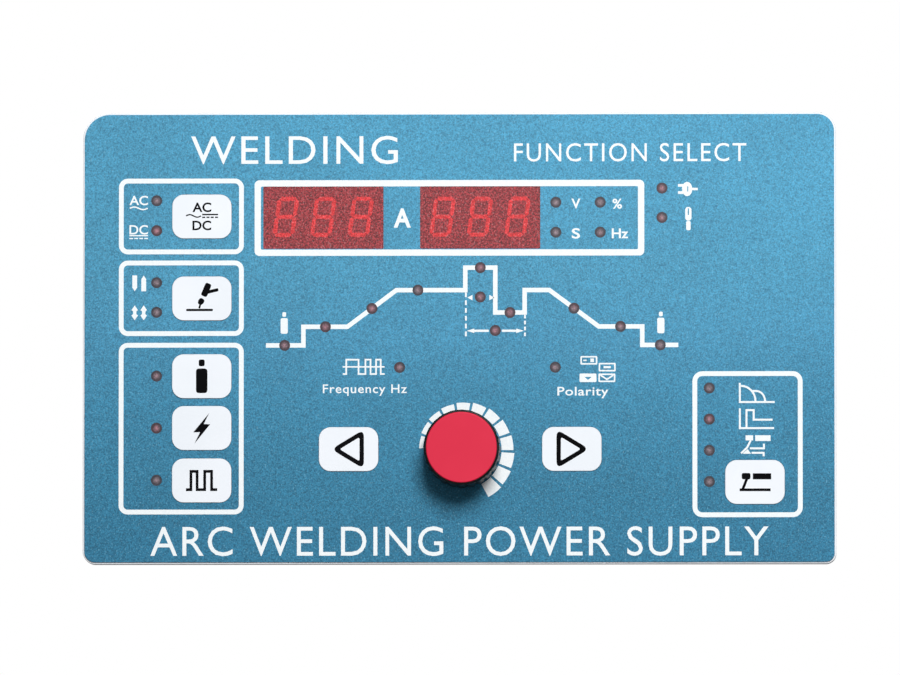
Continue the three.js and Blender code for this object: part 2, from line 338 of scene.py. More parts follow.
class Look:
    """A procedural material in the making; noise is measured in the object's own metres"""

    def __init__(self, name, roughness=0.5, metallic=0.0, **sockets):
        self.material = bpy.data.materials.new(name)
        self.material.use_nodes = True
        self.tree = self.material.node_tree
        self.shader = self.tree.nodes["Principled BSDF"]
        self.feed(self.shader, Roughness=roughness, Metallic=metallic, **sockets)
        self.place = self.add("ShaderNodeTexCoord").outputs["Object"]

    def add(self, kind, **settings):
        node = self.tree.nodes.new(kind)
        for setting, value in settings.items():
            setattr(node, setting, value)
        return node

    def feed(self, node, **sockets):
        """Sets each socket to a number or colour, or links an output to it"""
        for name, value in sockets.items():
            self.plug(node.inputs[name.replace("_", " ")], value)

    def plug(self, socket, value):
        if isinstance(value, bpy.types.NodeSocket):
            self.tree.links.new(value, socket)
        else:
            socket.default_value = value

    def noise(self, grain, detail=2, low=0.35, high=0.65, stretch=(1, 1, 1)):
        """Noise with features of this many millimetres, spread from 0 to 1 between two levels"""
        mapping = self.add("ShaderNodeMapping")
        self.feed(mapping, Scale=stretch, Vector=self.place)
        noise = self.add("ShaderNodeTexNoise")
        self.feed(noise, Scale=1 / (grain * MM), Detail=detail, Vector=mapping.outputs["Vector"])
        return self.spread(noise.outputs["Fac"], low, high)

    def spread(self, value, low, high, new_low=0, new_high=1):
        node = self.add("ShaderNodeMapRange")
        self.feed(node, Value=value, From_Min=low, From_Max=high, To_Min=new_low, To_Max=new_high)
        return node.outputs["Result"]

    def ramp(self, value, *stops):
        """Colours along a value; each stop is (position, red, green, blue)"""
        node = self.add("ShaderNodeValToRGB")
        elements = node.color_ramp.elements
        while len(elements) < len(stops):
            elements.new(0.5)
        for element, (position, *colour) in zip(elements, stops):
            element.position = position
            element.color = ink(*colour)
        self.feed(node, Fac=value)
        return node.outputs["Color"]

    def blend(self, factor, first, second, mode="MIX"):
        """Two colours, or a colour and a colour output, mixed by a factor"""
        node = self.add("ShaderNodeMix", data_type="RGBA", blend_type=mode)
        for socket, value in ((0, factor), (6, first), (7, second)):
            self.plug(node.inputs[socket], value)
        return node.outputs[2]

    def shaded(self, tone, value, low, high):
        """A colour made darker or lighter along a value from 0 to 1"""
        return self.blend(1, tone, self.spread(value, 0, 1, low, high), "MULTIPLY")

    def stained(self, tone, value, most, colour):
        """A colour with up to this share of another one along a value from 0 to 1"""
        return self.blend(self.spread(value, 0, 1, 0, most), tone, ink(*colour))

    def finish(self, tone, grain, rough, depth=0, strength=1.0):
        """Colours the surface, and roughens and raises it along the grain by up to a depth"""
        self.feed(self.shader, Base_Color=tone, Roughness=self.spread(grain, 0, 1, *rough))
        if depth:
            node = self.add("ShaderNodeBump")
            self.feed(node, Distance=depth * MM, Strength=strength, Height=grain)
            self.feed(self.shader, Normal=node.outputs["Normal"])
        return self.material


def moulded(name, dark, light, rough=(0.4, 0.5), depth=0.01, **sockets):
    """Plastic or ink with a fine grain and a slow change of tone"""
    look = Look(name, **sockets)
    tone = look.blend(look.noise(30, low=0.4, high=0.6), ink(*dark), ink(*light))
    return look.finish(tone, look.noise(0.25), rough, depth, 0.4)


def brushed(name, dark, light, rough, stretch=(1, 12, 1)):
    """Metal with short streaks across its length"""
    look = Look(name, metallic=0.7)
    streaks = look.noise(0.5, 3, 0.3, 0.7, stretch)
    return look.finish(look.blend(streaks, ink(*dark), ink(*light)), streaks, rough, 0.004, 0.3)


def film_look():
    """Metallic blue ink behind a sandy polyester film, with painted light: lighter at the top"""
    look = Look("blue_film", metallic=0.1, Specular_IOR_Level=0.2)
    split = look.add("ShaderNodeSeparateXYZ")
    look.feed(split, Vector=look.place)
    # Painted light: the ink's tone grows lighter from the bottom towards the top
    tone = look.ramp(
        look.spread(split.outputs["Z"], 0, tray_high.z),
        (0.0, 49, 120, 153),
        (0.15, 51, 122, 154),
        (0.35, 59, 132, 165),
        (0.5, 69, 142, 176),
        (0.65, 73, 148, 181),
        (1.0, 74, 151, 185),
    )
    sand = look.noise(0.42, 3, 0.3, 0.7)
    tone = look.shaded(tone, sand, 0.6, 1.38)
    tone = look.shaded(tone, look.noise(22, 2), 0.96, 1.04)
    tone = look.stained(tone, look.noise(0.9, 1, 0.6, 0.72), 0.4, (30, 92, 128))
    tone = look.stained(tone, look.noise(0.55, 1, 0.62, 0.74), 0.35, (140, 200, 226))
    # Painted light: a little lighter towards the right
    tone = look.shaded(tone, look.spread(split.outputs["X"], tray_low.x, tray_high.x), 0.97, 1.03)
    return look.finish(tone, sand, (0.38, 0.55), 0.03, 0.35)


def white_ink_look():
    look = Look("white_ink", Specular_IOR_Level=0.2)
    sand = look.noise(0.42, 3, 0.3, 0.7)
    tone = look.ramp(sand, (0, 238, 246, 250), (1, 252, 255, 255))
    return look.finish(tone, sand, (0.4, 0.6), 0.02, 0.25)


def red_pane_look():
    """Frosted red film; the digits show through it"""
    look = Look("red_pane", Alpha=0.44)
    sand = look.noise(0.55, 2, 0.36, 0.64)
    tone = look.ramp(sand, (0, 66, 6, 18), (0.5, 166, 44, 54), (1, 244, 96, 104))
    tone = look.stained(tone, look.noise(0.6, 1, 0.6, 0.7), 0.6, (244, 176, 180))
    return look.finish(tone, sand, (0.4, 0.6), 0.03, 0.3)


def painted_glow_look():
    """Segments of an unlit display with a painted glow, so that they read bright red behind the pane
    """
    # Painted light: the emission makes the unlit segments glow
    look = Look("segment", Emission_Color=(1.0, 0.01, 0.01, 1), Emission_Strength=0.8)
    fine = look.noise(0.5, 2, 0.3, 0.7)
    return look.finish(look.blend(fine, ink(235, 24, 24), ink(255, 60, 48)), fine, (0.4, 0.5))


def lamp_window_look():
    """Smoky clear film over an unlit LED: pale in the middle, with painted shade at the rim"""
    look = Look("lamp_window")
    shade = look.add("ShaderNodeAttribute", attribute_name="shade").outputs["Fac"]
    sand = look.noise(0.45, 3, 0.3, 0.7)
    tint = look.noise(9, 0, 0.4, 0.6)
    # Painted shade: darker towards each window's rim for the shade in the hole round the LED, paler in
    # the middle for the LED
    pale = look.blend(tint, ink(196, 138, 152), ink(172, 150, 160))
    rim = look.blend(tint, ink(72, 36, 52), ink(54, 48, 64))
    tone = look.blend(look.ramp(shade, (0.05, 0, 0, 0), (0.72, 255, 255, 255)), pale, rim)
    grey = look.ramp(sand, (0, 150, 150, 150), (1, 255, 255, 255))
    return look.finish(look.blend(1, tone, grey, "MULTIPLY"), sand, (0.35, 0.55), 0.02, 0.3)


def board_look():
    """Green solder mask with the glass weave just showing"""
    look = Look("solder_mask", Coat_Weight=0.4, Coat_Roughness=0.15)
    weave = look.noise(0.5, 1, 0.3, 0.7, (1, 1, 3))
    tone = look.blend(look.noise(25, 2), ink(16, 79, 49), ink(19, 85, 53))
    return look.finish(look.stained(tone, weave, 0.3, (8, 52, 34)), weave, (0.3, 0.45), 0.01, 0.3)


# Each look is a material and the record's slot that it belongs to
LOOKS = {
    "tray": (moulded("white_tray", (236, 239, 243), (244, 246, 250)), "tray"),
    "film": (film_look(), "film"),
    "white_ink": (white_ink_look(), "film"),
    "pane": (red_pane_look(), "filter"),
    "lamp_window": (lamp_window_look(), "film"),
    "display": (moulded("display_face", (134, 26, 34), (146, 32, 40), (0.5, 0.65)), "display"),
    "point": (moulded("unlit_point", (196, 44, 52), (206, 50, 58)), "display"),
    "segment": (painted_glow_look(), "display"),
    "key": (moulded("key_plastic", (238, 243, 249), (243, 247, 253), depth=0.006), "key"),
    "key_ink": (
        moulded("black_ink", (5, 5, 7), (12, 12, 15), (0.5, 0.6), Specular_IOR_Level=0.03),
        "key",
    ),
    "knob": (
        moulded("knob_plastic", (4, 4, 5), (9, 9, 10), (0.38, 0.46), Specular_IOR_Level=0.28),
        "dial",
    ),
    "knob_cap": (
        moulded("red_cap", (221, 36, 68), (227, 42, 73), (0.42, 0.5), Specular_IOR_Level=0.2),
        "dial_cap",
    ),
    "steel": (brushed("steel", (168, 170, 174), (206, 208, 212), (0.22, 0.4)), "steel"),
    "solder": (
        brushed("solder", (196, 198, 204), (236, 238, 242), (0.16, 0.34), (1, 1, 1)),
        "steel",
    ),
    "brass": (brushed("brass", (176, 140, 74), (222, 186, 112), (0.22, 0.38)), "brass"),
    "board": (board_look(), "board"),
    "track": (moulded("masked_copper", (34, 112, 68), (44, 126, 76), (0.28, 0.4)), "board"),
    "legend": (moulded("board_legend", (224, 226, 222), (238, 240, 236), (0.5, 0.7)), "board"),
    "black": (moulded("black_plastic", (20, 20, 22), (34, 34, 37)), "black_plastic"),
    "switch": (moulded("switch_base", (22, 22, 24), (36, 36, 40)), "switch_case"),
    "plunger": (moulded("plunger_plastic", (38, 38, 42), (52, 52, 56)), "plunger"),
    "lamp": (moulded("led_epoxy", (206, 200, 200), (226, 220, 220), (0.1, 0.2)), "led"),
    "sleeve": (
        moulded("capacitor_sleeve", (24, 28, 44), (34, 38, 56), (0.25, 0.35)),
        "capacitor",
    ),
}

# ---------- Tray, film and windows ----------


def outer_outline(smaller=0):
    width, height = PANEL.width - 2 * smaller, PANEL.height - 2 * smaller
    return plate_outline(width, height, [radius - smaller for radius in CORNERS], steps=12)


def key_outline(key, gap=0, steps=8):
    """A key's cap: its CAD box without the lip of its hidden flange, and a little wider"""
    wider = 0.5
    box = Box(key + "_key")
    width = box.width - 2 * KEY_LIP + wider + 2 * gap
    height = box.height - 2 * KEY_LIP + 2 * gap
    return rounded(width, height, KEY_CORNER + gap, box.x, box.y, steps)


def pane_outline(side, gap=0):
    """A red window reaches a little further left than its filter's CAD box"""
    box = Box(side + "_display_filter")
    left, right = box.low.x - 0.7 - gap, box.high.x + gap
    bottom, top = box.low.y - gap, box.high.y + 0.15 + gap
    return rounded(right - left, top - bottom, 0.35, (left + right) / 2, (top + bottom) / 2, 3)


def key_holes(gap):
    return [hole(key_outline(key, gap)) for key in KEYS]


def display_holes(gap):
    boxes = [Box(side + "_display") for side in SIDES]
    return [hole(rectangle(b.width + 2 * gap, b.height + 2 * gap, b.x, b.y)) for b in boxes]


def bushing_hole(radius=BUSHING_HOLE_RADIUS):
    return hole(circle(radius, DIAL.x, DIAL.y, 48))


def lamp_holes(radius):
    return [hole(circle(radius, x, y, 32)) for x, y in LAMP_PLACES]


def make_tray():
    bm = bmesh.new()
    holes = key_holes(0.2) + display_holes(0.3) + [bushing_hole()] + lamp_holes(LAMP_HOLE_RADIUS)
    outer = walls(bm, outer_outline(), [(0.15, 0), (0, 0.15)] + soft_edge(WALL_FRONT, 0.2))
    pocket = walls(bm, hole(outer_outline(RIM_WIDTH)), [(0, 0), (0, WALL_BACK)])
    through = [walls(bm, loop, [(0, WALL_BACK), (0, WALL_FRONT)]) for loop in holes]
    fill(bm, outer[0], pocket[0])
    fill(bm, pocket[1], *[back for back, front in through])
    fill(bm, outer[1], *[front for back, front in through])
    piece("tray_shell", bm, "tray", "fascia_tray")


def make_film():
    loops = [outer_outline((PANEL.width - FILM.width) / 2)] + key_holes(0.1)
    loops += [hole(pane_outline(side, 0.05)) for side in SIDES]
    loops += [bushing_hole()] + lamp_holes(LAMP_WINDOW_RADIUS + 0.02)
    plate("printed_film", "film", loops, WALL_FRONT, FILM.front, "overlay_film", soft=0.05)


def make_lamp_windows():
    """Clear discs a little thicker than the ink round them, shaded from the middle outwards"""
    steps = 6
    front = FILM.front + 1.5 * INK
    profile = [(0, WALL_FRONT), (LAMP_WINDOW_RADIUS, WALL_FRONT)]
    for step in range(steps, -1, -1):
        profile.append((LAMP_WINDOW_RADIUS * step / steps, front))
    for group in LED_GROUPS:
        bm = bmesh.new()
        shade = bm.verts.layers.float.new("shade")
        for x, y in LAMPS[group]:
            lathe(bm, profile, x, y, 32)
            for vertex in bm.verts:
                reach = math.hypot(vertex.co.x - x, vertex.co.y - y) / LAMP_WINDOW_RADIUS
                if reach < 1.01:
                    vertex[shade] = reach
        piece(group + "_lamp_windows", bm, "lamp_window")


def make_panes():
    """Red panes, with a printed border that hides the gap round each display"""
    overlap = 0.2
    for side in SIDES:
        pane = pane_outline(side)
        back = WALL_FRONT + 0.1
        node = side + "_display_filter"
        plate(side + "_red_pane", "pane", [pane], back, FILM.front, node, soft=0.05)
        box = Box(side + "_display")
        inner = rectangle(box.width - overlap, box.height - overlap, box.x, box.y)
        loops = [pane, hole(inner)]
        plate(side + "_pane_border", "display", loops, WALL_FRONT, WALL_FRONT + 0.08)


# ---------- Digits ----------

DIGIT = {"pitch": 12.5, "width": 7.2, "height": 13.4, "bar": 1.35, "slant": 8}
# Where the middle digit and a digit's point stand, from the middle of the display and the digit
FIRST_DIGIT = (-0.4, 0.4)
POINT = (4, -5.9)


def segment_loops(x, y):
    """The seven bars of one digit"""
    bar, gap = DIGIT["bar"], 0.12
    half_width = (DIGIT["width"] - bar) / 2
    half_height = (DIGIT["height"] - bar) / 2
    tip = bar / 2

    def across(level):
        end = half_width - gap
        half = [(-end, level), (tip - end, level - tip), (end - tip, level - tip)]
        return half + [(-px, 2 * level - py) for px, py in half]

    def upright(side, low):
        a, b = low + gap, low + half_height - gap
        half = [(side, a), (side + tip, a + tip), (side + tip, b - tip)]
        return half + [(2 * side - px, a + b - py) for px, py in half]

    bars = [across(level) for level in (-half_height, 0, half_height)]
    bars += [upright(side, low) for side in (-half_width, half_width) for low in (-half_height, 0)]
    lean = math.tan(math.radians(DIGIT["slant"]))
    return [[(x + px + py * lean, y + py) for px, py in loop] for loop in bars]


def make_displays():
    for side in SIDES:
        node = side + "_display"
        box = Box(node)
        face = box.front - 0.05
        body = rounded(box.width, box.height, 0.3, box.x, box.y, 2)
        plate(side + "_digit_module", "display", [body], box.back, face, node, soft=0.15)
        segments, points = bmesh.new(), bmesh.new()
        for digit in (-1, 0, 1):
            x = box.x + digit * DIGIT["pitch"] + FIRST_DIGIT[0]
            y = box.y + FIRST_DIGIT[1]
            for loop in segment_loops(x, y):
                extrude(segments, [loop], face - 0.1, box.front)
            dot = circle(0.6, x + POINT[0], y + POINT[1], 16)
            extrude(points, [dot], face - 0.1, box.front)
        piece(side + "_segments", segments, "segment")
        piece(side + "_points", points, "point")


# ---------- Ink on the film and on the keys ----------

# Shapes printed over each other differ by steps of this much in thickness
LAYER = 0.005
LAYERS = 4
# Height of a capital letter in Blender's own font, at size 1
FONT_CAP = 0.682


def letter_mesh(text, bold, tracking):
    """Letters 1 unit thick; bold widens their strokes and tracking the space between them"""
    curve = bpy.data.curves.new("letters", "FONT")
    curve.body = text
    curve.resolution_u = 4
    curve.offset = bold
    curve.extrude = 0.5
    curve.space_character = tracking
    text_object = bpy.data.objects.new("letters", curve)
    bpy.context.scene.collection.objects.link(text_object)
    mesh = bpy.data.meshes.new_from_object(text_object)
    bpy.data.objects.remove(text_object)
    return mesh


class Pen:
    """Prints flat shapes and letters around a point that can be moved"""

    def __init__(self, surface, x=0, y=0):
        self.bm = bmesh.new()
        self.back = surface
        self.layer = 0
        self.move(x, y)

    def move(self, x, y):
        self.x, self.y = x, y

    def shape(self, *loops):
        placed = [[(self.x + x, self.y + y) for x, y in loop] for loop in loops]
        self.layer = (self.layer + 1) % LAYERS
        extrude(self.bm, placed, self.back, self.back + INK + self.layer * LAYER)

    def line(self, points, width):
        self.shape(ribbon(points, width))

    def dashes(self, x1, y1, x2, y2, count, width, share=0.6):
        """A broken straight line"""
        pitch = 1 / (count - 1 + share)
        for i in range(count):
            ends = (i * pitch, (i + share) * pitch)
            self.line([(x1 + (x2 - x1) * t, y1 + (y2 - y1) * t) for t in ends], width)

    def frame(self, left, bottom, right, top, corner, line):
        """A frame between its outer sides"""
        x, y = (left + right) / 2, (bottom + top) / 2
        width, height = right - left, top - bottom
        inner_corner = max(corner - line, 0.4)
        inner = rounded(width - 2 * line, height - 2 * line, inner_corner, x, y, 8)
        self.shape(rounded(width, height, corner, x, y, 8), hole(inner))

    def letters(self, text, x, y, cap, width, bold=0.0, tracking=1.0):
        """Centred letters of a cap height, stretched to a width"""
        mesh = letter_mesh(text, bold, tracking)
        columns = [vertex.co.x for vertex in mesh.vertices]
        stretch = width / (max(columns) - min(columns))
        font_cap = FONT_CAP + 2 * bold
        left = self.x + x - width / 2 - min(columns) * stretch
        base = self.y + y - cap / 2 + bold * cap / font_cap
        place = Matrix.Translation((left, base, self.back + INK / 2))
        mesh.transform(place @ Matrix.Diagonal((stretch, cap / font_cap, INK, 1)))
        self.bm.from_mesh(mesh)
        bpy.data.meshes.remove(mesh)

    def finish(self, name, look, body="panel"):
        bmesh.ops.remove_doubles(self.bm, verts=self.bm.verts, dist=0.002)
        piece(name, self.bm, look, body=body)


def ripple(left, right, y, height):
    """One wave of alternating current"""
    steps = 16
    turns = [2 * math.pi * i / steps for i in range(steps + 1)]
    return [(left + (right - left) * t / (2 * math.pi), y + height * math.sin(t)) for t in turns]


def arrow_head(x, y, length, width, turn):
    """A triangle that points in a direction, in degrees, with its tip at (x, y)"""
    cos, sin = math.cos(math.radians(turn)), math.sin(math.radians(turn))
    corners = [(0, 0), (-length, width / 2), (-length, -width / 2)]
    return [(x + px * cos - py * sin, y + px * sin + py * cos) for px, py in corners]


def square_wave(edges, low, high):
    """A line that changes level at each edge between the first and the last"""
    points = [(edges[0], low)]
    levels = [low, high]
    for x in edges[1:-1]:
        points += [(x, levels[0]), (x, levels[1])]
        levels.reverse()
    return points + [(edges[-1], levels[0])]


def quarter_circle(x, y, width, height):
    """From the top of an ellipse clockwise to its right end"""
    return [(x + width * math.sin(a), y + height * math.cos(a)) for a in quarter_turn(8)]


def draw_bottle(pen, x=0, bottom=-5.6, width=3.8, shoulder=2.6, top=5.6):
    """A gas cylinder with its separate cap"""
    height = shoulder - bottom
    pen.shape(eased(rectangle(width, height, x, bottom + height / 2), width / 4))
    neck = top - shoulder - width * 0.2
    pen.shape(eased(rectangle(width * 0.52, neck, x, top - neck / 2), width / 6))


FRAMES = (
    # left, bottom, right, top, corner radius, line width
    (-113.6, 28.1, -71.9, 53.4, 3.0, 1.6),
    (-113.6, 0.8, -71.9, 26.0, 3.0, 1.6),
    (-113.6, -58.8, -71.9, -1.5, 3.0, 1.6),
    (-68.3, 27.5, 61.7, 52.8, 1.6, 2.1),
    (77.7, -59.9, 114.4, -11.2, 3.3, 1.6),
)

WORDS = (
    # text, x, y, cap height, width, boldness, spacing
    ("WELDING", -55, 62.9, 9.2, 69, 0, 1.12),
    ("FUNCTION SELECT", 57, 62, 6, 77.5, 0, 1.15),
    ("ARC WELDING POWER SUPPLY", 0, -67.8, 9.6, 206, 0, 1.1),
    ("Frequency Hz", -31.5, -16.9, 2.9, 28, 0.008, 1.1),
    ("Polarity", 41.2, -17.8, 2.9, 17, 0.01, 1.06),
)

UNITS = (
    # text, x, y, cap height, width, boldness
    ("A", -19, 40.1, 6.4, 5.75, 0.03),
    ("V", 38.9, 44.9, 3.3, 3, 0.02),
    ("%", 52.7, 44.8, 3.3, 3.2, 0.02),
    ("S", 38.9, 34.9, 3.4, 2.8, 0.02),
    ("Hz", 53.6, 34.9, 3.3, 5.5, 0.02),
    ("AC", -107, 46.1, 3.1, 6.2, 0.015),
    ("DC", -107, 36.3, 3.1, 6.2, 0.015),
)


def draw_frames(pen):
    for sides in FRAMES:
        pen.frame(*sides)


def draw_words(pen):
    for word in WORDS:
        pen.letters(*word)


def draw_units(pen):
    """Letters of the units and currents, and the small signs beside the lamps"""
    for unit in UNITS:
        pen.letters(*unit)
    pen.move(-107, 46.1)
    pen.line(ripple(-3, 3, -2.6, 0.42), 0.45)
    pen.move(-107, 36.3)
    pen.line([(-3.1, -1.95), (3.1, -1.95)], 0.4)
    pen.dashes(-3.1, -2.9, 3.1, -2.9, 4, 0.4, 0.75)
    draw_trigger_arrows(pen)
    draw_plug(pen)
    draw_thermometer(pen)


def draw_trigger_arrows(pen):
    """Two-stroke and four-stroke trigger signs beside the torch key"""
    down = [(-0.8, 2.65), (-0.8, -1.4), (0, -2.65), (0.8, -1.4), (0.8, 2.65)]
    half = [(-0.55, -0.45), (-1.1, -0.9), (0, -2.5), (1.1, -0.9), (0.55, -0.45)]
    for x, side in ((-108.3, 1), (-105.3, -1)):
        pen.move(x, 18.4)
        pen.shape([(px * side, py * side) for px, py in down])
    for x in (-108.3, -105.3):
        pen.move(x, 8.55)
        pen.shape(half + [(-px, -py) for px, py in half])


def draw_plug(pen):
    pen.move(76, 49.7)
    for y in (-1.2, 1.2):
        pen.shape(rectangle(1.7, 0.9, -2.2, y))
    body = [(1.7 * x, 2.4 * y) for x, y in circle(1, steps=24)]
    pen.shape(body, hole(rectangle(0.35, 1.7, 0.2, 0)))
    pen.shape(rectangle(1.9, 0.8, 2.6, 0))


def draw_thermometer(pen):
    pen.move(76.4, 39.8)
    pen.shape(rounded(2.1, 4.6, 1.0, 0, 1.6), hole(rectangle(0.4, 2.2, 0, 2.3)))
    pen.shape(eased(rectangle(1.5, 3.1, 0, -2.35), 0.6))


# The welding cycle: the current's levels up the panel, and where it changes across
FLOW, START, WELD, PEAK, BASE = (-2.4, 3.8, 16, 23.5, 8.5)
CHANGE = (-64.5, -52, -37.3, -21, 2, 12, 21.8, 30, 46.5, 61, 73)
PULSE_ARROWS = 13.5
PERIOD_ARROWS = 2.4


def cycle_line():
    """Level stretches joined by steps and by the two slopes"""
    levels = (FLOW, START, None, WELD, PEAK, BASE, WELD, None, START, FLOW)
    points = []
    for level, start, end in zip(levels, CHANGE, CHANGE[1:]):
        if level is not None:
            points += [(start, level), (end, level)]
    return points


def draw_cycle(pen):
    """The cycle's line, the arrows that measure its pulse and period, and two gas cylinders"""
    rise, fall, end = CHANGE[4:7]
    pen.line(cycle_line(), 1.5)
    for x, top, count in ((rise + 0.2, 15.2, 6), (end + 0.1, 7.7, 4)):
        pen.dashes(x, top, x, 0.6, count, 0.6)
    for x, turn in ((rise + 0.7, 180), (fall - 0.3, 0)):
        pen.shape(arrow_head(x, PULSE_ARROWS, 1.7, 1.8, turn))
    y = PERIOD_ARROWS
    for x, turn in ((rise + 0.5, 180), (end - 0.3, 0)):
        pen.shape(arrow_head(x, y, 2.5, 1.5, turn))
    for left, right in ((rise + 2.5, fall - 2.2), (fall + 2.2, end - 2.3)):
        pen.line([(left, y), (right, y)], 0.75)
    for x in (-58.4, 67.2):
        draw_bottle(pen, x, 1.5, 2.4, 6.7, 8.7)


def draw_settings(pen):
    """The signs of the two values that the left and right keys choose"""
    pen.move(-31.9, -9.6)
    pen.line([(-7, 0), (7, 0)], 0.5)
    pen.line(square_wave([-6.95, -5.8, -1.7, 0.6, 2.3, 4.15, 5.7, 7.0], -2.4, 2.4), 0.55)
    outer = eased(rectangle(5.65, 2.85), 0.4)
    window = hole(rectangle(4.65, 1.85))
    pen.move(43.2, -7.5)
    pen.shape(outer, window)
    pen.shape(rectangle(1.1, 0.45, -1.3, 0))
    pen.shape(rectangle(1.2, 1.2, 1.1, 0))
    pen.move(49.3, -9.8)
    pen.shape(outer, window)
    pen.shape(rectangle(2.4, 0.7, 0, 0))
    pen.move(42.9, -13.35)
    pen.shape(outer, hole(arrow_head(0, -0.7, 1.0, 2.4, 270)))
    pen.move(49.2, -13.35)
    pen.shape(outer, window)
    pen.line([(-2.2, 0.9), (0, -0.5), (2.2, 0.9)], 0.5)


def draw_modes(pen):
    """Spot, pulse and stick welding, above the process key"""
    width = 0.65
    pen.line([(93.5, -15.1), (93.5, -21.5), (105.1, -21.5)], width)
    pen.line(quarter_circle(93.9, -21.2, 4.8, 5.1), width)
    pen.line([(97.6, -17.8)] + quarter_circle(98.9, -21.2, 3, 3.4), width)
    pen.line([(93.5, -23.6), (93.5, -30.2), (104.9, -30.2)], width)
    pen.line([(95.7, -29.9), (95.7, -24.2), (98.1, -24.2), (98.1, -27.4), (104.4, -27.4)], width)
    pen.shape(rectangle(2.5, 1.7, 96.65, -33.45))
    pen.shape(rectangle(5.1, 1.9, 101.15, -33.55))
    pen.line([(97.1, -34.3), (95.9, -36.7), (93.9, -38.6)], width)
    pen.shape([(94.4, -38.75), (97.2, -38.75), (96.1, -37.2)])
    pen.line([(96.8, -36.95), (101.5, -36.95), (101.5, -35.4)], width)
    pen.line([(97.4, -38.45), (101.4, -38.45), (101.4, -39.6)], width)


def draw_dial_scale(pen):
    """Bars that grow longer clockwise, from the left over the top to the lower right"""
    count, pitch, gap = 12, 20.2, 3.3
    inner, outer, growth = 13.1, 14.4, 0.33
    for i in range(count):
        start = 178 - i * pitch
        end = start - pitch + gap
        near = arc(DIAL.x, DIAL.y, inner, start, end, 5)
        far = arc(DIAL.x, DIAL.y, outer + growth * i, end, start, 5)
        pen.shape(hole(near + far))


PRINTS = {
    "white_frames": draw_frames,
    "white_lettering": draw_words,
    "white_symbols": draw_units,
    "welding_cycle": draw_cycle,
    "setting_signs": draw_settings,
    "mode_signs": draw_modes,
    "dial_scale": draw_dial_scale,
}


def make_prints():
    for name, draw in PRINTS.items():
        pen = Pen(FILM.front)
        draw(pen)
        pen.finish(name, "white_ink")


# ---------- Keys and their black icons ----------


def draw_ac_dc(pen):
    pen.letters("AC", 0, 3.07, 3.15, 6.26, 0.022)
    pen.letters("DC", 0, -3.0, 3.15, 6.26, 0.022)
    pen.line(ripple(-5.3, -0.3, 0.2, 0.42), 0.42)
    pen.line([(0.1, 0.66), (5.4, 0.66)], 0.46)
    pen.dashes(0.1, -0.28, 5.4, -0.28, 4, 0.46, 0.72)


def draw_torch(pen):
    nozzle = [(-1.15, -0.5), (-1.35, -1.7), (-0.35, -2.3), (0.65, -1.6), (0.95, -0.5), (-0.3, 0.3)]
    pen.shape(eased(rectangle(8.9, 0.75, -0.75, -3.85), 0.3))
    pen.shape(eased(ribbon([(2.35, 5.0), (0.6, 0.75)], 2.1), 0.7))
    pen.shape(eased(ribbon([(1.9, 2.1), (5.5, 2.95)], 1.05), 0.3))
    pen.shape(eased(nozzle, 0.5))
    pen.line([(-0.5, -2.0), (-0.85, -3.3)], 0.6)


def draw_bolt(pen):
    pen.shape([(2.5, 5.0), (-2.8, -1.4), (-0.5, -1.35), (-2.4, -5.2), (2.8, 1.25), (0.7, 1.35)])


def draw_pulse(pen):
    pen.line(square_wave([-5.2, -3.56, -1.5, 1.03, 3.33, 5.2], -3.05, 3.05), 0.92)


def draw_arrow(pen, side=1):
    """A hollow triangle with rounded corners that points right (side 1) or left (side -1)"""
    loop = [(-5.1 * side, -6.6 * side), (5.8 * side, 0), (-5.1 * side, 6.6 * side)]
    pen.shape(eased(loop, 2.6, 6), hole(eased(inset(loop, 1.45), 0.8, 4)))


def draw_left_arrow(pen):
    draw_arrow(pen, -1)


def draw_process(pen):
    pen.shape(eased(rectangle(2.9, 2.1, -2.95, 1.95), 0.6))
    pen.shape(rectangle(6.1, 2.0, 2.35, 1.9))
    pen.line([(-2.7, 1.1), (-4.1, -2.5)], 0.9)
    pen.line([(-5.1, -2.6), (5.2, -2.6)], 0.9)


ICONS = {
    "ac_dc": draw_ac_dc,
    "torch": draw_torch,
    "gas": draw_bottle,
    "arc_start": draw_bolt,
    "pulse": draw_pulse,
    "left": draw_left_arrow,
    "right": draw_arrow,
    "process": draw_process,
}


def make_key(key):
    """A stem, a flange that keeps the key behind the tray, and the cap with its icon"""
    stem_width = 5
    box = Box(key + "_key")
    flange_back, flange_front = box.back + 0.25, box.back + 1.25
    stem = rectangle(stem_width, stem_width, box.x, box.y)
    flange = rounded(box.width, box.height, 1, box.x, box.y)
    bm = bmesh.new()
    stepped(bm, [
        (stem, [(0, box.back), (0, flange_back)]),
        (flange, [(0, flange_back), (0, flange_front)]),
        (key_outline(key, steps=12), [(0, flange_front)] + soft_edge(box.front, 0.15, 4)),
    ])
    body = key + "_button"
    piece(key + "_key_cap", bm, "key", key + "_key", body=body)
    pen = Pen(box.front, box.x, box.y)
    ICONS[key](pen)
    pen.finish(key + "_icon", "key_ink", body)


# ---------- Dial ----------

FLUTES = 24
FLUTE_DEPTH = 0.5


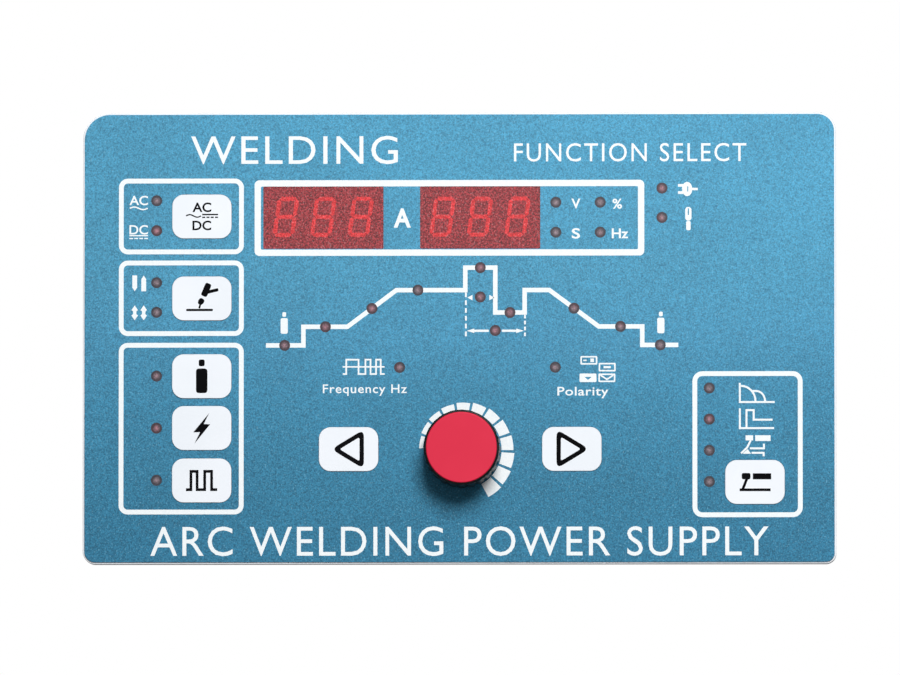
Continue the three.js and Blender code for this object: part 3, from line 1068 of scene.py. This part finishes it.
def make_knob():
    """A fluted grip over the encoder's nut and shaft, with a seat for the cap"""
    cap = Box("dial_cap")
    base = DIAL.width / 2
    lip = base - 0.3
    seat = cap.width / 2 + 0.12
    bore, bore_end, pocket, pocket_end = SPINDLE_BORE_RADIUS, 20, 8, 10.5
    recess = [(0, bore_end), (bore, bore_end), (bore, pocket_end), (pocket, pocket_end)]
    recess += [(pocket, DIAL.back), (base - 0.7, DIAL.back)]
    grip = [(base - 0.15, DIAL.back + 0.1), (base, DIAL.back + 0.4), (lip, DIAL.front - 1.4)]
    crown = [(lip - 0.1, DIAL.front - 0.4), (lip - 0.4, DIAL.front - 0.05), (lip - 0.5, DIAL.front)]
    inside = [(seat, DIAL.front), (seat, cap.back), (0, cap.back)]

    def flute(angle, radius, z):
        dip = 0.5 - 0.5 * math.cos(FLUTES * angle)
        return radius - FLUTE_DEPTH * dip ** 3 if (radius, z) in grip else radius

    bm = bmesh.new()
    lathe(bm, recess + grip + crown + inside, DIAL.x, DIAL.y, 240, flute)
    piece("knob_body", bm, "knob", "dial_knob", body="dial")


def make_cap():
    cap = Box("dial_cap")
    radius = cap.width / 2
    profile = [(0, cap.back), (radius, cap.back)]
    profile += [(radius - distance, z) for distance, z in soft_edge(cap.front, 0.35, 5)]
    profile += [(radius * 0.5, cap.front), (0, cap.front)]
    bm = bmesh.new()
    lathe(bm, profile, DIAL.x, DIAL.y, 96)
    piece("knob_cap", bm, "knob_cap", "dial_cap", body="dial")


# ---------- Pins and small parts of the circuit board ----------

LAMP_LEG = 1.27
RESISTOR_PAD = 0.9
CHIP_PITCH = 1.27
CHIP_LEADS = 14
CHIP_HALF_HEIGHT = 3.75
HEADER_PITCH = 2.54
HEADER_COLUMNS = 5
CHIP = Box("driver_chip")
HEADER = Box("pin_header")
CAPACITOR = Box("smoothing_capacitor")


def pin_grid(box, columns, rows, pitch_x, pitch_y):
    """Pins about a part's middle, row by row from the bottom left"""
    xs = [box.x + (i - (columns - 1) / 2) * pitch_x for i in range(columns)]
    ys = [box.y + (j - (rows - 1) / 2) * pitch_y for j in range(rows)]
    return [(x, y) for y in ys for x in xs]


SWITCH_PINS = {key: pin_grid(Box(key + "_switch"), 2, 2, 6.5, 4.5) for key in KEYS}
DISPLAY_PINS = {side: pin_grid(Box(side + "_display"), 6, 2, 2.54, 15.24) for side in SIDES}
HEADER_PINS = pin_grid(HEADER, HEADER_COLUMNS, 2, HEADER_PITCH, HEADER_PITCH)
ENCODER_PINS = [(DIAL.x + i * 2.5, DIAL.y - 7.2) for i in (-1, 0, 1)]
ENCODER_LUGS = [(DIAL.x + i * 6.1, DIAL.y) for i in (-1, 1)]
RESISTORS = [(x + 4.3, y) for x, y in LAMP_PLACES]


def chip_pads():
    """Where the driver chip's leads meet the board, the upper row first"""
    reach = CHIP.height / 2 - 0.4
    xs = [CHIP.x + (i - (CHIP_LEADS - 1) / 2) * CHIP_PITCH for i in range(CHIP_LEADS)]
    return [(x, CHIP.y + side * reach) for side in (1, -1) for x in xs]


def solder_joints():
    """Every through-hole joint on the back: its place and the radius of its solder"""
    joints = [((x + side * LAMP_LEG, y), 0.8) for x, y in LAMP_PLACES for side in (-1, 1)]
    joints += [(pin, 0.95) for key in KEYS for pin in SWITCH_PINS[key]]
    joints += [(pin, 0.85) for side in SIDES for pin in DISPLAY_PINS[side]]
    joints += [(pin, 0.9) for pin in ENCODER_PINS]
    return joints + [(lug, 1.5) for lug in ENCODER_LUGS]


def make_board():
    edge = 0.1
    through = [(0, BOARD.back), (0, BOARD.front)]
    levels = [(edge, BOARD.back), (0, BOARD.back + edge), (0, BOARD.front - edge)]
    levels.append((edge, BOARD.front))
    sections = [(rounded(BOARD.width, BOARD.height, 2, BOARD.x, BOARD.y), levels)]
    for _, _, screw in fixings("board_screw"):
        sections.append((hole(circle(SCREW_BORE_RADIUS, screw.x, screw.y, 24)), through))
    bm = bmesh.new()
    pierced(bm, sections)
    piece("circuit_board", bm, "board", "control_board")


def make_solder():
    """Cones of solder round the cut ends of the pins"""
    bm = bmesh.new()
    for (x, y), foot in solder_joints():
        cone = [(foot, 0), (foot * 0.92, 0.1), (foot * 0.6, 0.4), (foot * 0.42, 0.75)]
        pin = [(0.32, 0.95), (0.28, 1.35), (0.18, 1.45)]
        profile = [(0, 0)] + cone + pin + [(0, 1.45)]
        lathe(bm, [(radius, BOARD.back - out) for radius, out in profile], x, y, 16)
    piece("solder_joints", bm, "solder", sharp=60)


def make_resistors():
    """One series resistor for each LED"""
    length, width, height, end = 2.0, 1.25, 0.5, 0.4
    top = BOARD.back - height
    bodies, ends = bmesh.new(), bmesh.new()
    for x, y in RESISTORS:
        extrude(bodies, [rectangle(length - 2 * end, width, x, y)], top, BOARD.back - 0.05)
        for side in (-1, 1):
            cap = eased(rectangle(end, width, x + side * (length - end) / 2, y), 0.08)
            extrude(ends, [cap], top - 0.03, BOARD.back - 0.02)
            pad = rectangle(end + 0.5, width + 0.1, x + side * (length / 2 + 0.05), y)
            extrude(ends, [eased(pad, 0.15)], BOARD.back - 0.08, BOARD.back)
    piece("resistor_bodies", bodies, "black")
    piece("resistor_ends", ends, "solder")


# ---------- Copper tracks ----------

TRACK_WIDTH = 0.42
CLEARANCE = 0.25
BOARD_EDGE = 1.2
TURN_COST = 0.6
NOTHING = frozenset()
MOVES = [(1, 0), (-1, 0), (0, 1), (0, -1), (1, 1), (-1, -1), (1, -1), (-1, 1)]


def way_back(best, cell):
    """The cells from here to the start, from each cell's (cost, cell before, move)"""
    cells = []
    while cell:
        cells.append(cell)
        cell = best[cell][1]
    return cells


class Router:
    """Finds tracks on a square grid that keep clear of pins, parts and each other"""

    def __init__(self, origin, step):
        self.origin = origin
        self.step = step
        self.taken = {}
        self.paths = []
        self.vias = []

    def cell(self, point):
        return tuple(round((a - b) / self.step) for a, b in zip(point, self.origin))

    def place(self, cell):
        return tuple(b + a * self.step for a, b in zip(cell, self.origin))

    def block(self, point, radius, owner=None):
        """Closes the cells near a pin or part to every track that doesn't end on it"""
        reach = radius + TRACK_WIDTH / 2 + CLEARANCE
        column, row = self.cell(point)
        cells = math.ceil(reach / self.step) + 1
        for i in range(column - cells, column + cells + 1):
            for j in range(row - cells, row + cells + 1):
                if math.dist(self.place((i, j)), point) < reach:
                    self.taken.setdefault((i, j), set()).add(owner or point)

    def free(self, cell, owners):
        x, y = self.place(cell)
        inside = abs(x) < BOARD.width / 2 - BOARD_EDGE and abs(y) < BOARD.height / 2 - BOARD_EDGE
        return inside and self.taken.get(cell, NOTHING) <= owners

    def steps(self, cell, owners):
        """The free cells around a cell; a slanting step needs both corners beside it free"""
        for move in MOVES:
            there = (cell[0] + move[0], cell[1] + move[1])
            needed = [there]
            if all(move):
                needed += [(there[0], cell[1]), (cell[0], there[1])]
            if all(self.free(other, owners) for other in needed):
                yield move, there

    def lay(self, start, cells, end):
        for cell in cells:
            self.taken.setdefault(cell, set()).add("track")
        corners = [b for a, b, c in zip(cells, cells[1:], cells[2:])
                   if (b[0] - a[0], b[1] - a[1]) != (c[0] - b[0], c[1] - b[1])]
        turns = [cells[0]] + corners + [cells[-1]]
        self.paths.append(without_turning_back([start] + [self.place(cell) for cell in turns] + [end]))

    def join(self, start, end):
        """Lays the cheapest free way between two pins, if a short search finds one"""
        effort = 3000
        owners = {start, end}
        first, last = self.cell(start), self.cell(end)
        if not (self.free(first, owners) and self.free(last, owners)):
            return False
        best = {first: (0, None, (0, 0))}
        queue = [(0, first)]
        while queue and effort:
            effort -= 1
            cell = heapq.heappop(queue)[1]
            if cell == last:
                self.lay(start, way_back(best, cell)[::-1], end)
                return True
            cost, _, heading = best[cell]
            for move, there in self.steps(cell, owners):
                new = cost + math.hypot(*move) + (0 if move == heading else TURN_COST)
                if there not in best or new < best[there][0]:
                    best[there] = (new, cell, move)
                    heapq.heappush(queue, (new + math.dist(there, last), there))
        return False

    def stub(self, start, length):
        """A short straight track to a via"""
        first = self.cell(start)
        for move in MOVES[4:] + MOVES[:4]:
            cells = [(first[0] + move[0] * i, first[1] + move[1] * i) for i in range(length + 1)]
            if all(self.free(cell, {start}) for cell in cells):
                end = self.place(cells[-1])
                self.lay(start, cells, end)
                self.block(end, 0.3, "via")
                self.vias.append(end)
                return


def without_turning_back(points):
    """Drops points that repeat the one before or make the path turn back"""
    kept = [Vector(points[0])]
    for point, after in zip(points[1:], points[2:] + [None]):
        step = Vector(point) - kept[-1]
        back = after and step.dot(Vector(after) - Vector(point)) < 0
        if step.length > 0.05 and not back:
            kept.append(Vector(point))
    return kept


def block_parts(router):
    for pin, radius in solder_joints():
        router.block(pin, radius)
    for x, y in RESISTORS:
        for side in (-1, 1):
            router.block((x + side * RESISTOR_PAD, y), 0.6)
    for pin in HEADER_PINS:
        router.block(pin, 0.7)
    for pad in chip_pads():
        router.block(pad, 0.3)
    for _, _, screw in fixings("board_screw"):
        router.block((screw.x, screw.y), 3, "screw")
    router.block((CAPACITOR.x, CAPACITOR.y), 4.2, "capacitor")


def join_neighbours(router):
    """Ties the displays, the switches and the LEDs of each group in chains"""
    left, right = DISPLAY_PINS["left"][6:], DISPLAY_PINS["right"][6:]
    pairs = list(zip(left, right[::-1]))[::-1]
    pairs += [(SWITCH_PINS[a][3], SWITCH_PINS[b][3]) for a, b in zip(KEYS, KEYS[1:])]
    for group in LED_GROUPS:
        legs = [(x - LAMP_LEG, y) for x, y in LAMPS[group]]
        pairs += list(zip(legs, legs[1:]))
    for start, end in pairs:
        router.join(start, end)


def join_to_chip(router):
    """Leads pins to the driver chip or the header, the nearest first, and the rest to vias"""
    pins = DISPLAY_PINS["left"][:6] + DISPLAY_PINS["right"][:6]
    pins += [(x + RESISTOR_PAD, y) for x, y in RESISTORS]
    pins += [SWITCH_PINS[key][0] for key in KEYS] + ENCODER_PINS
    targets = chip_pads() + HEADER_PINS
    for pin in sorted(pins, key=lambda pin: math.dist(pin, (CHIP.x, CHIP.y))):
        nearest = sorted(targets, key=lambda target: math.dist(target, pin))[:2]
        reached = next((target for target in nearest if router.join(pin, target)), None)
        if reached:
            targets.remove(reached)
        else:
            router.stub(pin, 3)
    for target in targets:
        router.stub(target, 2)


def make_tracks():
    router = Router(chip_pads()[0], CHIP_PITCH)
    block_parts(router)
    for x, y in LAMP_PLACES:
        router.paths.append([(x + LAMP_LEG, y), (x + 3.4, y)])
    join_neighbours(router)
    join_to_chip(router)
    bm = bmesh.new()
    for path in router.paths:
        extrude(bm, [ribbon(path, TRACK_WIDTH)], BOARD.back - 0.04, BOARD.back)
    via = ((0, 0), (0.5, 0), (0.45, 0.07), (0.24, 0.07), (0.2, 0.03), (0, 0.03))
    for x, y in router.vias:
        lathe(bm, [(radius, BOARD.back - out) for radius, out in via], x, y, 12)
    piece("copper_tracks", bm, "track")


def make_legend():
    """White outlines of the parts, printed on the board's back"""
    line = 0.18
    boxes = [(Box(key + "_switch"), 7.6, 7.6) for key in KEYS]
    boxes += [(Box(side + "_display"), 38.5, 19.8) for side in SIDES]
    boxes += [(HEADER, 14.2, 6.4), (Box("encoder_body"), 13.4, 13.4)]
    loops = [rectangle(width, height, box.x, box.y) for box, width, height in boxes]
    loops += [rectangle(3.4, 1.9, x, y) for x, y in RESISTORS]
    loops += [circle(2.2, x, y, 28) for x, y in LAMP_PLACES]
    loops.append(circle(4.6, CAPACITOR.x, CAPACITOR.y, 28))
    bm = bmesh.new()
    for loop in loops:
        extrude(bm, [loop, hole(inset(loop, line))], BOARD.back - INK, BOARD.back)
    piece("board_legend", bm, "legend")


# ---------- Parts on the back of the board ----------


def cross_arm(turn, half, reach):
    """One arm of a cross, from the inner corner before it to the tip's far side"""
    corners = [(half, -half), (reach, -half), (reach, half)]
    for _ in range(turn):
        corners = [(-y, x) for x, y in corners]
    return corners


def cross(x, y, half, reach):
    arms = [corner for turn in range(4) for corner in cross_arm(turn, half, reach)]
    return [(x + px, y + py) for px, py in arms]


def make_chip():
    """A moulded body with a round mark at pin one"""
    top, base = CHIP.back, CHIP.front
    outline = rounded(CHIP.width, 2 * CHIP_HALF_HEIGHT, 0.2, CHIP.x, CHIP.y, 2)
    mark = hole(circle(0.75, CHIP.low.x + 1.9, CHIP.y - CHIP_HALF_HEIGHT + 1.7, 24))
    bm = bmesh.new()
    levels = [(0.25, base - 0.1), (0, base - 1.15), (0.35, top + 0.08), (0.5, top)]
    foot, face = walls(bm, outline, levels)
    rim, floor = walls(bm, mark, [(0, top), (-0.1, top + 0.2)])
    fill(bm, foot)
    fill(bm, face, rim)
    fill(bm, floor)
    piece("driver_chip_body", bm, "black", "driver_chip")


def make_chip_leads():
    """Strips bent down from the body's sides to the board"""
    thick, width = 0.22, 0.42
    foot = CHIP.front - 0.02
    shoulder, sole = foot - 1.1, foot - thick / 2
    bends = [(-0.3, shoulder), (0.45, shoulder), (0.7, sole), (1.4, sole)]
    bends = [(CHIP_HALF_HEIGHT + out, z) for out, z in bends]
    section = ribbon(eased(bends, 0.25, 3, closed=False), thick)
    bm = bmesh.new()
    for x, y in chip_pads():
        side = 1 if y > CHIP.y else -1
        rings = []
        for edge in (x - width / 2, x + width / 2):
            rings.append([bm.verts.new((edge, CHIP.y + side * out, z)) for out, z in section])
        for end in skin(bm, rings):
            fill(bm, end)
    piece("driver_chip_leads", bm, "solder")


def make_header():
    """A block notched between its columns, and square pins with chamfered tips"""
    notch, pin_width = 0.35, 0.64
    half_x, half_y = HEADER_COLUMNS / 2 * HEADER_PITCH, HEADER_PITCH
    lower = [(-half_x, -half_y + notch)]
    for i in range(HEADER_COLUMNS):
        left = -half_x + i * HEADER_PITCH
        right = left + HEADER_PITCH
        lower += [(left + notch, -half_y), (right - notch, -half_y), (right, -half_y + notch)]
    loop = lower + [(-x, -y) for x, y in lower]
    placed = [(HEADER.x + x, HEADER.y + y) for x, y in loop]
    plate("header_block", "black", [placed], BOARD.back - HEADER_PITCH, BOARD.back, "pin_header")
    bm = bmesh.new()
    for x, y in HEADER_PINS:
        levels = [(0.2, HEADER.back), (0, HEADER.back + 0.7), (0, BOARD.back)]
        for end in walls(bm, rectangle(pin_width, pin_width, x, y), levels):
            fill(bm, end)
    piece("header_pins", bm, "brass")


def make_capacitor():
    """A sleeved can with a crimped foot, a vent cross in its lid and a stripe down its side"""
    x, y, base, end = CAPACITOR.x, CAPACITOR.y, CAPACITOR.front, CAPACITOR.back
    radius = CAPACITOR.width / 2
    foot = [(0, 0), (-0.5, 0), (-0.2, 0.3), (-0.2, 0.9), (-0.5, 1.2), (-0.5, 1.5), (0, 1.9)]
    profile = [(0, base)] + [(radius + out, base - up) for out, up in foot[1:]]
    profile += [(radius, end + 0.5), (radius - 0.15, end + 0.12), (radius - 0.5, end)]
    profile += [(radius - 0.7, end + 0.15), (0, end + 0.15)]
    bm = bmesh.new()
    lathe(bm, profile, x, y, 48)
    piece("capacitor_sleeve", bm, "sleeve", "smoothing_capacitor")
    loops = [circle(radius - 0.72, x, y, 48), hole(cross(x, y, 0.14, radius - 1.3))]
    plate("capacitor_vent", "steel", loops, end + 0.02, end + 0.3)
    stripe = arc(x, y, radius + 0.02, -22, 22, 8) + arc(x, y, radius - 0.1, 22, -22, 8)
    plate("capacitor_stripe", "legend", [stripe], end + 0.6, base - 2.0)


def make_screws():
    """Pan heads with a cross recess"""
    shank_radius, rim, crown = 1.45, 1.1, 0.9
    for n, node, box in fixings("board_screw"):
        levels = [(0, BOARD.back)]
        for angle in quarter_turn(5):
            out = rim + crown * math.sin(angle)
            levels.append((0.95 * (1 - math.cos(angle)), BOARD.back - out))
        bm = bmesh.new()
        seat, top = walls(bm, circle(box.width / 2, box.x, box.y, 40), levels)
        recess = hole(cross(box.x, box.y, 0.32, 1.45))
        edge, floor = walls(bm, recess, [(0, box.back), (-0.12, box.back + 1.2)])
        shank = circle(shank_radius, box.x, box.y, 20)
        neck, tip = walls(bm, shank, [(0, BOARD.back), (0, box.front)])
        fill(bm, top, edge)
        fill(bm, floor)
        fill(bm, seat, neck)
        fill(bm, tip)
        piece("pan_head_screw_%d" % n, bm, "steel", node)


def make_studs():
    """Welded flange and M4 thread"""
    radius, pitch = 2, 0.7
    for n, node, box in fixings("mounting_stud"):
        flange = box.width / 2
        step = box.front - 1
        profile = [(0, step), (flange - 0.1, step), (flange, step + 0.1)]
        profile += [(flange, box.front), (0, box.front)]
        bm = bmesh.new()
        lathe(bm, profile, box.x, box.y, 40)
        thread(bm, box.x, box.y, radius, pitch, box.back, step + 0.1)
        piece("threaded_stud_%d" % n, bm, "steel", node)


# ---------- Parts between the board and the tray ----------


def make_lamps():
    """Each group's LEDs, and the bars that hold them off the board"""
    radius, shoulder, bar_height, bar_width = 1.5, 3.9, 1, 3.9
    for group in LED_GROUPS:
        node = group + "_leds"
        box = Box(node)
        foot = box.back + bar_height
        profile = [(0, foot), (1.85, foot), (1.9, foot + 0.1), (1.9, foot + 0.8), (1.55, foot + 0.9)]
        for angle in quarter_turn(6)[:-1]:
            profile.append((radius * math.cos(angle), shoulder + radius * math.sin(angle)))
        lamps, bars = bmesh.new(), bmesh.new()
        for x, y in LAMPS[group]:
            lathe(lamps, profile + [(0, box.front)], x, y)
        piece(group + "_lamps", lamps, "lamp", node)
        for a, b in zip(map(Vector, LAMPS[group]), map(Vector, LAMPS[group][1:])):
            along = (b - a).normalized() * bar_width / 2
            strip = ribbon([a - along, b + along], bar_width)
            extrude(bars, [eased(strip, 0.8)], box.back, foot, 0.15)
        piece(group + "_carrier", bars, "black")


def bored_hexagon(name, look, node, bore, chamfer, steps):
    """A hexagon with a round bore; each end is chamfered by (how far in, how deep)"""
    box = Box(node)
    across, deep = chamfer
    outside = hexagon(min(box.width, box.height), box.x, box.y)
    inside = hole(circle(bore, box.x, box.y, steps))
    levels = [(across, box.back), (0, box.back + deep), (0, box.front - deep), (across, box.front)]
    bm = bmesh.new()
    pierced(bm, [(outside, levels), (inside, [(0, box.back), (0, box.front)])])
    piece(name, bm, look, node)


def make_spacers():
    for n, node, _ in fixings("board_spacer"):
        name = "hex_spacer_%d" % n
        bored_hexagon(name, "brass", node, SCREW_BORE_RADIUS, (0.3, 0.3), 24)


def make_switches():
    """Moulded bases under pressed steel covers held by four rivets, and the pins in them"""
    cover = 0.35
    rivet = ((0, -0.4), (0.45, -0.4), (0.45, 0), (0.3, 0.12), (0, 0.15))
    for key in KEYS:
        node = key + "_switch"
        box = Box(node)
        x, y, side, top = box.x, box.y, box.width, box.front
        bore = hole(circle(1.95, x, y, 28))
        bm = bmesh.new()
        extrude(bm, [rounded(side, side, 0.4, x, y, 3), bore], box.back, top - cover)
        for i, j in pin_grid(box, 2, 2, 4.6, 4.6):
            lathe(bm, [(radius, top + up) for radius, up in rivet], i, j, 14)
        piece(node + "_base", bm, "switch", node)
        loops = [rounded(side - 0.1, side - 0.1, 0.5, x, y, 3), bore]
        plate(node + "_cover", "steel", loops, top - cover, top, soft=0.1)
        pin = Box(key + "_plunger")
        radius = pin.width / 2
        profile = [(0, pin.back), (radius, pin.back), (radius, pin.front - 0.2)]
        profile += [(radius - 0.2, pin.front), (0, pin.front)]
        bm = bmesh.new()
        lathe(bm, profile, x, y, 28)
        piece(key + "_push_pin", bm, "plunger", key + "_plunger", body=key + "_button")


def make_encoder_can():
    """Sheet metal can and threaded bushing"""
    x, y, pitch, groove = DIAL.x, DIAL.y, 0.6, 0.2
    can_front = WALL_BACK
    box = Box("encoder_body")
    levels = [(0, can_front)]
    z = can_front + pitch
    while z < box.front - 0.7:
        levels += [(0, z), (groove, z + 0.2), (groove, z + 0.3), (0, z + 0.5)]
        z += pitch
    levels += [(0, box.front - 0.15), (0.15, box.front)]
    can_levels = [(0, box.back)] + soft_edge(can_front, 0.5, 4)
    bore_levels = [(0, box.front), (0, box.back + 1)]
    bm = bmesh.new()
    can = walls(bm, rounded(box.width, box.width, 0.8, x, y), can_levels)
    bushing = walls(bm, circle(BUSHING_RADIUS, x, y, 48), levels)
    bore = walls(bm, bushing_hole(SPINDLE_BORE_RADIUS), bore_levels)
    fill(bm, can[0])
    fill(bm, can[1], bushing[0])
    fill(bm, bushing[1], bore[0])
    fill(bm, bore[1])
    piece("encoder_can", bm, "steel", "encoder_body")


def make_spindle():
    """A round shaft with a flat on its front end"""
    box = Box("encoder_shaft")
    radius, step = box.width / 2, box.front - 9
    flat = math.degrees(math.acos(0.5))
    round_loop = circle(radius, DIAL.x, DIAL.y, 48)
    flat_loop = arc(DIAL.x, DIAL.y, radius - 0.03, 90 + flat, 450 - flat, 40)
    bm = bmesh.new()
    stepped(bm, [
        (round_loop, [(0.2, box.back), (0, box.back + 0.2), (0, step)]),
        (flat_loop, [(0, step), (0, box.front - 0.5), (0.4, box.front)]),
    ])
    piece("encoder_spindle", bm, "brass", "encoder_shaft", body="dial")


def make_washer():
    """A lock washer with teeth round its edge"""
    box = Box("encoder_washer")
    tip = box.width / 2
    root = tip - 0.7
    outer, inner = (circle(radius, DIAL.x, DIAL.y, 64) for radius in (tip, root))
    teeth = [(inner if i % 4 > 1 else outer)[i] for i in range(64)]
    loops = [teeth, bushing_hole(3.6)]
    plate("lock_washer", "steel", loops, box.back, box.front, "encoder_washer")


def make_nut():
    thread_clearance = 0.06
    bore = BUSHING_RADIUS + thread_clearance
    bored_hexagon("hex_nut", "steel", "encoder_nut", bore, (0.35, 0.2), 48)


# ---------- Camera, light and floor ----------


def aim(obj, target):
    obj.rotation_euler = (Vector(target) - obj.location).to_track_quat("-Z", "Y").to_euler()


def place(name, data, location, target):
    obj = bpy.data.objects.new(name, data)
    bpy.context.scene.collection.objects.link(obj)
    obj.location = location
    aim(obj, target)
    return obj


def make_camera():
    """A long lens, a little below the panel and to the right, that frames a width of 300 mm"""
    distance = 5.0
    framed = 0.3
    data = bpy.data.cameras.new("camera")
    data.sensor_width = 36
    data.lens = data.sensor_width * distance / framed
    data.clip_end = 100
    target = TO_ROW @ Vector((-3.1, 0.17, FILM.front))
    below = math.radians(3.5)
    right = math.radians(1.2)
    away = distance * Vector((math.sin(right), -math.cos(below), -math.sin(below)))
    bpy.context.scene.camera = place("camera", data, target + away, target)


def make_light(name, location, width, power):
    data = bpy.data.lights.new(name, "AREA")
    data.shape = "SQUARE"
    data.size = width
    data.energy = power
    place(name, data, location, CENTRE)


def make_world():
    """White behind the panel, and a dimmer even light on it"""
    world = bpy.data.worlds.new("studio")
    world.use_nodes = True
    tree = world.node_tree
    tree.nodes.clear()
    mix = tree.nodes.new("ShaderNodeMixShader")
    path = tree.nodes.new("ShaderNodeLightPath")
    output = tree.nodes.new("ShaderNodeOutputWorld")
    tree.links.new(path.outputs["Is Camera Ray"], mix.inputs[0])
    for socket, colour, strength in ((1, (0.96, 0.98, 1, 1), 0.22), (2, (1, 1, 1, 1), 1.0)):
        background = tree.nodes.new("ShaderNodeBackground")
        background.inputs["Color"].default_value = colour
        background.inputs["Strength"].default_value = strength
        tree.links.new(background.outputs[0], mix.inputs[socket])
    tree.links.new(mix.outputs[0], output.inputs["Surface"])
    bpy.context.scene.world = world


def make_floor():
    """Pale to the camera, but it throws little light back up onto the panel"""
    width, level = 18, -0.45
    mesh = bpy.data.meshes.new("floor")
    corners = [(x, y, level) for x, y in rectangle(width, width)]
    mesh.from_pydata(corners, [], [(0, 1, 2, 3)])
    look = Look("pale_floor", roughness=0.8, Emission_Color=(1, 1, 1, 1), Emission_Strength=0.68)
    tone = look.blend(look.noise(120), ink(232, 232, 232), ink(240, 240, 240))
    look.feed(look.shader, Base_Color=tone)
    quiet = look.add("ShaderNodeBsdfDiffuse")
    look.feed(quiet, Color=(0.2, 0.2, 0.2, 1))
    seen = look.add("ShaderNodeLightPath").outputs["Is Camera Ray"]
    mix = look.add("ShaderNodeMixShader")
    for socket, value in enumerate((seen, quiet.outputs[0], look.shader.outputs[0])):
        look.plug(mix.inputs[socket], value)
    look.feed(look.tree.nodes["Material Output"], Surface=mix.outputs[0])
    mesh.materials.append(look.material)
    floor = bpy.data.objects.new("floor", mesh)
    bpy.context.scene.collection.objects.link(floor)


def make_studio():
    make_camera()
    make_world()
    make_floor()
    make_light("key_light", (0.22, -1.34, 0.72), 0.55, 21.8)
    make_light("back_light", (-0.6, 1.4, 0.9), 1.0, 32)
    scene = bpy.context.scene
    scene.view_settings.view_transform = "Standard"
    scene.view_settings.look = "None"


# ---------- The whole panel ----------

make_studio()
make_tray()
make_film()
make_lamp_windows()
make_panes()
make_displays()
make_prints()
for key in KEYS:
    make_key(key)
make_knob()
make_cap()
make_board()
make_solder()
make_resistors()
make_tracks()
make_legend()
make_chip()
make_chip_leads()
make_header()
make_capacitor()
make_screws()
make_studs()
make_lamps()
make_spacers()
make_switches()
make_encoder_can()
make_spindle()
make_washer()
make_nut()
